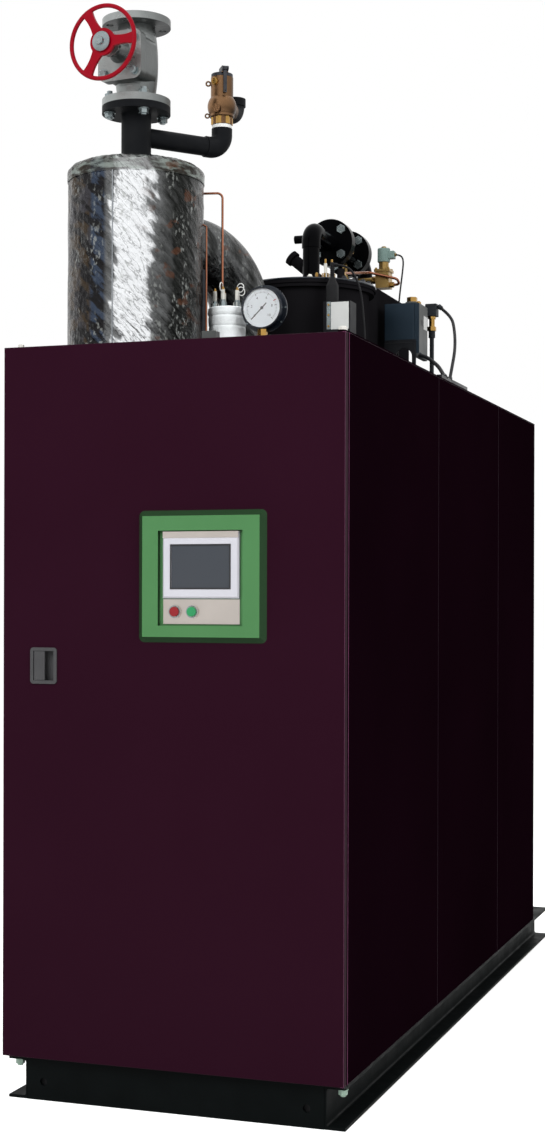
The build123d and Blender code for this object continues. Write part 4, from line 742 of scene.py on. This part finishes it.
# Electrode pot in its wrap, and the electrodes' nuts and wires
def make_pot(shape):
    low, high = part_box("electrode_pot")
    centre = upright_axis(low, high)
    radius = (high.x - low.x) / 2
    rows = 44
    profile = []
    for row in range(rows + 1):
        height = low.z + (high.z - 0.003 - low.z) * row / rows
        belly = 0.0012 * math.sin(row / rows * math.pi * 3)
        seam = 0.0016 if row in (30, 38) else 0.0
        step = 0.0 if height > high.z - 0.018 else 0.0015
        profile.append((radius - step - seam + belly - 0.0012, height))
    profile += [(radius - 0.004, high.z), (0.0, high.z)]
    add_lathe(shape, centre, profile, steps=96)
    for vert in shape.verts:
        out = Vector((vert.co.x, vert.co.y, 0)) - centre
        if out.length > radius * 0.8:
            vert.co -= out.normalized() * 0.0014 * abs(noise.noise(vert.co * 45))
    make_piece("pot_wrap_cloth", shape, "pot_wrap", replaced=("electrode_pot",))
    nuts = bmesh.new()
    caps = bmesh.new()
    wires = bmesh.new()
    for index in range(ELECTRODES):
        out = turned(-90 + index * 72)
        place = centre + out * ELECTRODE_CIRCLE + UP * high.z
        add_nut(nuts, place + UP * 0.0002, UP, 0.0178, 0.0122)
        add_nut(caps, place + UP * 0.0436, UP, 0.0085, 0.0045)
        add_post(caps, place, 0.044, 0.052, 0.0022)
        add_post(nuts, place, 0.0124, 0.018, 0.0068)
        if index < WIRED_ELECTRODES:
            add_ring(wires, place + UP * 0.049 + out * 0.011, out.cross(UP), 0.011, 0.0012, steps=30)
    make_piece("electrode_nuts", nuts, "zinc", bevel=0.0004)
    make_piece("electrode_terminals", caps, "brass", bevel=0.0003)
    make_piece("electrode_wires", wires, "tape")


# Gauge: dial marks and numbers, bezel, screws and the brass fitting below it
DIAL_START = -135
DIAL_TICKS = 51
TICK_TURN = 5.4
NUMBERS = 6
NUMBER_CIRCLE = 0.0275
GAUGE_SCREWS = (97, 2, -38, 217)
GAUGE_SCREW_CIRCLE = 0.0572


def make_gauge(shape):
    low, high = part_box("pressure_gauge_case")
    centre = Vector(((low.x + high.x) / 2, low.y, (low.z + high.z) / 2))
    dial = centre + BACK * 0.0069
    for tick in range(DIAL_TICKS):
        turn = Matrix.Rotation(math.radians(DIAL_START + tick * TICK_TURN), 4, "Y")
        long = tick % 10 == 0
        inner = 0.0345 if long else 0.0375
        half = 0.0007 if long else 0.0003
        corners = add_block(shape, (-half, -0.0003, inner), (half, 0.0002, 0.041))
        bmesh.ops.transform(shape, matrix=Matrix.Translation(dial) @ turn, verts=corners)
    for index in range(NUMBERS):
        text = bpy.data.curves.new("number", "FONT")
        text.body = str(index * 2)
        text.size = 0.0095
        text.align_x, text.align_y = "CENTER", "CENTER"
        holder = add_object("number", text)
        bpy.context.view_layer.update()
        flat = bpy.data.meshes.new_from_object(holder)
        bpy.data.objects.remove(holder)
        angle = math.radians(DIAL_START + index * 54)
        place = dial + Vector((math.sin(angle) * NUMBER_CIRCLE, -0.0004, math.cos(angle) * NUMBER_CIRCLE))
        flat.transform(Matrix.Translation(place) @ Matrix.Rotation(math.pi / 2, 4, "X"))
        shape.from_mesh(flat)
        bpy.data.meshes.remove(flat)
    make_piece("gauge_marks", shape, "print_black")
    add_block(shape, (-0.0009, -0.0004, 0.035), (0.0009, 0.0001, 0.043))
    red_turn = Matrix.Translation(dial) @ Matrix.Rotation(math.radians(62), 4, "Y")
    make_piece("gauge_red_mark", shape, "mark_red", matrix=red_turn)
    add_rod(shape, dial + BACK * 0.0006, dial - BACK * 0.0001, 0.0498, segments=72)
    make_piece("gauge_dial", shape, "dial_white")
    add_ring(shape, centre + BACK * 0.0016, BACK, 0.0512, 0.0016, steps=96)
    make_piece("gauge_bezel", shape, "gauge_case")
    for angle in GAUGE_SCREWS:
        out = Vector((math.cos(math.radians(angle)), 0, math.sin(math.radians(angle))))
        place = centre + out * GAUGE_SCREW_CIRCLE + BACK * 0.0262
        add_rod(shape, place, place - BACK * 0.0024, 0.003, 0.0022)
    make_piece("gauge_screws", shape, "zinc")
    foot = upright_axis(*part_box("gauge_stand"))
    top = centre.z - math.sqrt(0.053**2 - 0.011**2)
    add_nut(shape, foot + UP * (top - 0.0203), UP, 0.0228, 0.0185)
    add_post(shape, foot, top - 0.0262, top - 0.0203, 0.0108)
    make_piece("gauge_fitting", shape, "brass", bevel=0.0008)


# Gas train: flange bolts and the lid's fittings
GAS_BOLT_CIRCLE = 0.0525
LID_RADIUS = 0.1945
LID_BOLT_CIRCLE = 0.18
RIM_BOLT_CIRCLE = 0.182


def make_gas_train(shape):
    low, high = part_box("gas_valve")
    line_x = (low.x + high.x) / 2
    for seam in (low.y, high.y):
        for quarter in range(4):
            angle = math.radians(45 + quarter * 90)
            out, rise = GAS_BOLT_CIRCLE * math.cos(angle), GAS_BOLT_CIRCLE * math.sin(angle)
            place = Vector((line_x + out, seam, GAS_LINE_Z + rise))
            add_rod(shape, place - BACK * 0.02, place + BACK * 0.033, 0.0078)
            add_nut(shape, place - BACK * 0.016, -BACK, 0.024, 0.01)
            add_nut(shape, place + BACK * 0.016, BACK, 0.024, 0.012)
    make_piece("gas_flange_bolts", shape, "zinc", bevel=0.0006)
    lid_low, lid_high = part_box("drum_lid")
    lid_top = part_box("gas_riser")[0].z
    centre = Vector(((lid_low.x + lid_high.x) / 2, lid_low.y + LID_RADIUS, lid_top))
    for angle in (-128, 45, 135, 160, 185):
        add_bolt(shape, centre + turned(angle) * LID_BOLT_CIRCLE, UP, 0.017, 0.011, 0.006)
    make_piece("lid_bolts", shape, "zinc", bevel=0.0005)
    for angle in (-38, -26, -14, -2, 10, 22):
        add_bolt(shape, centre + turned(angle) * RIM_BOLT_CIRCLE, UP, 0.013, 0.006, 0.003)
    make_piece("lid_rim_bolts", shape, "dark_metal", bevel=0.0004)
    add_ring(shape, centre - UP * 0.0028, UP, 0.1932, 0.003, steps=160)
    make_piece("lid_rim", shape, "lid_gloss")
    dome = centre + turned(-70) * LID_BOLT_CIRCLE
    add_post(shape, dome, 0, 0.004, 0.008)
    add_post(shape, dome, 0.004, 0.009, 0.0072, 0.004)
    make_piece("lid_dome_nut", shape, "ceramic", bevel=0.0008)
    stub = centre + turned(-64) * LID_BOLT_CIRCLE
    add_post(shape, stub, 0, 0.011, 0.0042)
    add_post(shape, stub, 0.011, 0.014, 0.0028)
    for angle in (-56, -50):
        place = centre + turned(angle) * LID_RADIUS * 0.92
        add_nut(shape, place + UP * 0.0002, UP, 0.0188, 0.0122)
        add_post(shape, place, 0.0398, 0.0524, 0.0027)
    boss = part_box("pilot_tube")[0]
    add_nut(shape, (boss.x + 0.004, boss.y + 0.003, 2.137), BACK, 0.015, 0.012)
    make_piece("lid_brass_fittings", shape, "brass", bevel=0.0005)
    tag_low = (line_x + 0.0385, low.y + 0.06, GAS_LINE_Z - 0.016)
    add_block(shape, tag_low, (line_x + 0.0408, low.y + 0.1, GAS_LINE_Z + 0.016))
    make_piece("gas_valve_tag", shape, "brass", bevel=0.0004)


# Ignition transformer: terminal strip with its screws, and bare plate
def make_transformer(shape):
    low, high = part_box("ignition_transformer")
    add_block(
        shape, (low.x + 0.0105, low.y - 0.0012, low.z + 0.131),
        (low.x + 0.0215, low.y + 0.001, high.z - 0.0015),
    )
    make_piece("transformer_strip", shape, "zinc", bevel=0.0004)
    add_block(
        shape, (low.x + 0.0225, low.y - 0.001, low.z + 0.131),
        (high.x - 0.003, low.y + 0.001, high.z - 0.003),
    )
    make_piece("transformer_plate", shape, "label_pale", bevel=0.0003)
    screw_x = low.x + 0.016
    for rise in (0.14, 0.17, 0.198):
        head = (screw_x, low.y - 0.0032, low.z + rise)
        add_rod(shape, (screw_x, low.y - 0.001, low.z + rise), head, 0.003)
    add_rod(shape, (screw_x, low.y + 0.03, high.z), (screw_x, low.y + 0.03, high.z + 0.006), 0.005)
    make_piece("transformer_screws", shape, "brass", bevel=0.0004)


# Rubber boot on the transformer's terminal, flared over it and narrow where the lead enters
def make_boot(shape):
    low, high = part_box("ignition_boot")
    axis = Vector((low.x + 0.017, (low.y + high.y) / 2, low.z))
    profile = [(0, 0), (0.017, 0), (0.017, 0.047), (0.016, 0.05), (0.011, 0.06), (0.0078, 0.07)]
    for step in range(6):
        profile += [(0.0066, 0.072 + step * 0.006), (0.0056, 0.075 + step * 0.006)]
    profile += [(0.006, 0.11), (0.004, 0.1118), (0, 0.1118)]
    add_lathe(shape, axis, profile, steps=40)
    add_rod(shape, axis + UP * 0.105, IGNITER_LEAD_ROUTE[0], 0.0052)
    make_piece("terminal_boot", shape, "rubber", replaced=("ignition_boot",))


# Pilot solenoid: coil, connector, body plate and unions
def make_solenoid(shape):
    axis = SOLENOID_AXIS
    add_post(shape, axis, 2.2235, 2.2664, 0.0192, segments=40)
    make_piece("solenoid_coil", shape, "coil_green", bevel=0.003)
    add_block(shape, axis + Vector((0.015, -0.0116, 2.2334)), axis + Vector((0.0346, 0.0116, 2.2566)))
    make_piece("solenoid_connector", shape, "coil_green", bevel=0.002)
    add_post(shape, axis, 2.2664, 2.2724, 0.006)
    add_nut(shape, axis + UP * 2.2664, UP, 0.015, 0.004)
    add_block(shape, axis + Vector((-0.0245, -0.0245, 2.193)), axis + Vector((0.0245, 0.0245, 2.201)))
    for hand in (-1, 1):
        for way in (-1, 1):
            add_bolt(shape, axis + Vector((hand * 0.019, way * 0.019, 2.201)), UP, 0.007, 0.004)
    make_piece("solenoid_plate", shape, "solenoid_brass", bevel=0.0006)
    add_nut(shape, axis + Vector((0.021, 0, 2.1545)), (1, 0, 0), 0.015, 0.012)
    add_nut(shape, axis + Vector((-0.021, 0, 2.172)), (-1, 0, 0), 0.021, 0.014)
    make_piece("solenoid_unions", shape, "brass", bevel=0.0006)


# Control motor: grey side cover with its slot and bare label, shaft collar and hexagon
def make_motor(shape):
    low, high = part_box("control_motor")
    face_x = low.x + 0.089
    side_x = face_x + 0.014
    top = high.z - 0.024
    add_block(
        shape, (face_x + 0.0003, low.y + 0.0062, low.z + 0.002),
        (side_x + 0.0006, high.y + 0.0004, top + 0.0004),
    )
    make_piece("motor_side_cover", shape, "side_grey", bevel=0.002)
    add_block(shape, (side_x, low.y + 0.03, top - 0.062), (side_x + 0.001, low.y + 0.052, top - 0.046))
    add_block(
        shape, (low.x + 0.004, low.y - 0.0006, low.z + 0.044),
        (face_x - 0.004, low.y + 0.001, low.z + 0.0452),
    )
    make_piece("motor_slot", shape, "print_black")
    add_block(shape, (side_x, low.y + 0.058, top - 0.07), (side_x + 0.001, low.y + 0.096, top - 0.03))
    make_piece("motor_label", shape, "label_pale")
    shaft = Vector((face_x - 0.019, low.y + 0.053, 0))
    add_post(shape, shaft, top + 0.0002, top + 0.0102, 0.0196, segments=40)
    make_piece("motor_collar", shape, "side_grey", bevel=0.0008)
    add_nut(shape, shaft + UP * (top + 0.0102), UP, 0.028, 0.0142)
    dome = Vector((side_x - 0.007, low.y + 0.03, top))
    add_post(shape, dome, 0, 0.005, 0.007)
    add_post(shape, dome, 0.005, 0.009, 0.0066, 0.003)
    make_piece("motor_brass", shape, "brass", bevel=0.0008)


# Pressure switch: brass hexagons on the post, and the line round its lid
def make_switch(shape):
    axis = SWITCH_AXIS
    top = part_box("pressure_switch")[1].z
    add_post(shape, axis, top - 0.0798, top - 0.0362, 0.0086)
    add_nut(shape, axis + UP * (top - 0.044), UP, 0.022, 0.0078)
    add_nut(shape, axis + UP * (top - 0.08), UP, 0.024, 0.013)
    make_piece("switch_brass", shape, "brass", bevel=0.0008)
    add_block(
        shape, axis + Vector((-0.0176, -0.0176, top - 0.0065)),
        axis + Vector((0.0176, 0.0176, top - 0.005)),
    )
    make_piece("switch_lid_line", shape, "print_black")


# Operating panel: frame over the screen's top, dark border, metal strip above and button rings
def make_panel(shape):
    low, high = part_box("touch_screen")
    unit_low, unit_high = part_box("touch_unit_bezel")
    face_y = unit_low.y
    top = high.z - 0.0085
    add_block(
        shape, (low.x - 0.002, face_y - 0.0004, top),
        (high.x + 0.002, face_y + 0.0006, high.z + 0.002),
    )
    make_piece("screen_frame", shape, "bezel_silver", body="door")
    edge = 0.003
    for left, right, foot, head in (
        (low.x - edge, high.x + edge, low.z - edge, low.z),
        (low.x - edge, high.x + edge, top, top + edge),
        (low.x - edge, low.x, low.z, top),
        (high.x, high.x + edge, low.z, top),
    ):
        add_block(shape, (left, face_y - 0.0009, foot), (right, face_y + 0.0002, head))
    make_piece("screen_border", shape, "print_black", body="door")
    strip = unit_high.z - 0.015
    add_block(
        shape, (unit_low.x + 0.001, face_y - 0.0012, strip),
        (unit_high.x - 0.001, face_y + 0.0004, unit_high.z),
    )
    make_piece("unit_strip", shape, "plate_brushed", body="door", bevel=0.0006)
    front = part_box("button_plate")[0].y
    for name in ("stop_button", "start_button"):
        button_low, button_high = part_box(name)
        centre = (button_low + button_high) / 2
        add_ring(shape, (centre.x, front + 0.0012, centre.z), BACK, 0.01325, 0.0018, steps=48)
    make_piece("button_rings", shape, "zinc", body="door")


# Small things on the cabinet: bolts, dark discs that paint the shade inside the anchor holes, junction
# block, second copper line and a dark strip that paints shade behind it
def make_cabinet(shape):
    roof = TOWER_LOW.z
    add_bolt(shape, (0.405, -1.205, roof), UP, 0.019, 0.011)
    add_bolt(shape, (-0.405, -1.205, roof), UP, 0.013, 0.007)
    make_piece("roof_bolts", shape, "ceramic", bevel=0.0008)
    base_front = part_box("base_channel_right")[0].y
    floor_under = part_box("cabinet_floor")[0].z
    for across in (-0.398, 0.412):
        place = Vector((across, base_front + 0.014, floor_under - 0.0075))
        add_bolt(shape, place, -UP, 0.019, 0.011, 0.004)
    make_piece("base_bolts", shape, "bolt_green", bevel=0.0006)
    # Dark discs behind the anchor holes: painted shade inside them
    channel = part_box("base_channel_front")[0]
    for across in (-0.33, 0.33):
        place = Vector((across, channel.y + 0.012, channel.z + 0.044))
        add_rod(shape, place, place + BACK * 0.006, 0.0125)
    make_piece("anchor_hole_shade_discs", shape, "rubber")
    add_block(shape, (0.046, -1.166, roof), (0.081, -1.136, roof + 0.0262))
    make_piece("junction_block", shape, "side_grey", bevel=0.0015)
    line = TOWER_AXIS + Vector((0.1776, 0.04, 0))
    add_post(shape, line, roof, roof + 0.345, 0.0022, segments=14)
    bend = line + UP * (roof + 0.345)
    add_rod(shape, bend, line + Vector((-0.012, 0.0, roof + 0.352)), 0.0022, segments=14)
    make_piece("second_copper_line", shape, "copper")
    # A dark strip behind the copper line: painted shade
    add_block(shape, (-0.0105, 0.003, roof), (0.003, 0.0045, roof + 0.236))
    strip_turn = Matrix.Translation(line) @ Matrix.Rotation(math.atan2(0.328, 0.945), 4, "Z")
    make_piece("copper_line_shade_strip", shape, "dark_metal", bevel=0.0003, matrix=strip_turn)


def round_edges(name, width, finish, body="boiler", edge_highlight=None):
    """The same form as a CAD node, with its sharp edges rounded, and a painted highlight on the rounded
    faces where an edge finish is given.
    """
    shape = bmesh.new()
    shape.from_mesh(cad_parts[name].data)
    bmesh.ops.remove_doubles(shape, verts=shape.verts[:], dist=0.00002)
    bmesh.ops.dissolve_limit(
        shape, angle_limit=math.radians(1), verts=shape.verts[:], edges=shape.edges[:],
    )
    for layer in (shape.loops.layers.float_vector, shape.loops.layers.float):
        for key in list(layer.keys()):
            layer.remove(layer[key])
    make_piece(
        name + "_edges", shape, finish, body=body, bevel=width, replaced=(name,), edge_highlight=edge_highlight,
    )


for make_details in (
    make_jacket, make_stop_valve, make_safety_valve, make_pot, make_gauge,
    make_gas_train, make_transformer, make_boot, make_solenoid, make_motor,
    make_switch, make_panel, make_cabinet,
):
    make_details(bmesh.new())
# The side panels' rounded edges carry a painted highlight
for panel in SIDE_PANELS:
    round_edges(panel, 0.0008, "panel_paint", edge_highlight="panel_edge")
round_edges("rear_panel", 0.0008, "panel_paint")
# The door's rounded edges carry a painted highlight
round_edges("front_door", 0.0022, "door_paint", "door", "door_edge")
for channel in BASE_CHANNELS:
    round_edges(channel, 0.0015, "base_paint")
round_edges("motor_bracket", 0.001, "satin_black")


# Cables

def make_cable(name, route, diameter):
    """A smooth cable through its route."""
    curve = bpy.data.curves.new(name, "CURVE")
    curve.dimensions = "3D"
    curve.bevel_depth = diameter / 2
    curve.bevel_resolution = 5
    curve.resolution_u = 10
    curve.use_fill_caps = True
    spline = curve.splines.new("NURBS")
    spline.points.add(len(route) - 1)
    for point, place in zip(spline.points, route):
        point.co = (*place, 1.0)
    spline.order_u = 3
    spline.use_endpoint_u = True
    curve.materials.append(FINISHES["rubber"])
    cable = add_object(name, curve)
    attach(cable, "boiler")
    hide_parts(name)
    cable.name = name + "_sheath"


make_cable("motor_cable", MOTOR_CABLE_ROUTE, 0.011)
make_cable("switch_cable", SWITCH_CABLE_ROUTE, 0.009)
make_cable("pilot_cable", PILOT_CABLE_ROUTE, 0.005)
make_cable("igniter_lead", IGNITER_LEAD_ROUTE, 0.006)


# Camera, floor and light

def make_camera():
    camera = bpy.data.cameras.new("camera")
    camera.lens = CAMERA_LENS
    camera.sensor_fit = "AUTO"
    camera.shift_y = CAMERA_SHIFT_Y
    holder = add_object("camera", camera)
    turn = Matrix.Rotation(CAMERA_YAW, 4, "Z") @ Matrix.Rotation(math.pi / 2, 4, "X")
    holder.matrix_world = Matrix.Translation(CAMERA_PLACE) @ turn @ Matrix.Rotation(CAMERA_ROLL, 4, "Z")
    bpy.context.scene.camera = holder


def make_floor():
    mesh = bpy.data.meshes.new("floor")
    shape = bmesh.new()
    bmesh.ops.create_circle(shape, cap_ends=True, segments=96, radius=FLOOR_RADIUS)
    shape.to_mesh(mesh)
    shape.free()
    material = make_finish("floor_pale", (0.88, 0.88, 0.88), (0.86, 0.86, 0.86), roughness=0.9, specular=0.0)
    tree = material.node_tree
    shader = tree.nodes["Principled BSDF"]
    shader.inputs["Emission Color"].default_value = (1, 1, 1, 1)
    seen = tree.nodes.new("ShaderNodeLightPath").outputs["Is Camera Ray"]
    tree.links.new(add_math(tree, "MULTIPLY", seen, FLOOR_SEEN_LIGHT), shader.inputs["Emission Strength"])
    mesh.materials.append(material)
    add_object("floor", mesh)


def make_lamp(name, place, aim, size, power):
    lamp = bpy.data.lights.new(name, "AREA")
    lamp.shape = "RECTANGLE"
    lamp.size, lamp.size_y = size
    lamp.energy = power
    holder = add_object(name, lamp)
    holder.visible_glossy = False
    heading = Vector(aim) - Vector(place)
    holder.matrix_world = Matrix.Translation(place) @ heading.to_track_quat("-Z", "Y").to_matrix().to_4x4()


def make_world():
    """A white room: what the camera and reflections see is white, and its light is softer."""
    world = bpy.data.worlds.new("studio")
    bpy.context.scene.world = world
    world.use_nodes = True
    tree = world.node_tree
    backdrop = tree.nodes["Background"]
    backdrop.inputs["Color"].default_value = (1, 1, 1, 1)
    path = tree.nodes.new("ShaderNodeLightPath")
    seen = add_math(tree, "MAXIMUM", path.outputs["Is Camera Ray"], path.outputs["Is Glossy Ray"])
    seen = add_math(tree, "MAXIMUM", seen, path.outputs["Is Transmission Ray"])
    strength = tree.nodes.new("ShaderNodeMapRange")
    strength.inputs["To Min"].default_value = WORLD_LIGHT
    strength.inputs["To Max"].default_value = WORLD_SEEN
    tree.links.new(seen, strength.inputs["Value"])
    tree.links.new(strength.outputs["Result"], backdrop.inputs["Strength"])


make_camera()
make_floor()
make_world()
make_lamp("key", (-1.2, -5.8, 4.6), (0, 0, 1.4), (2.6, 3.0), 250)
make_lamp("fill", (4.6, -3.2, 3.0), (0, 0, 1.4), (2.6, 3.0), 120)
make_lamp("top", (0.0, 0.5, 5.6), (0, 0, 1.0), (3.0, 3.0), 160)
bpy.context.scene.view_settings.view_transform = "Standard"
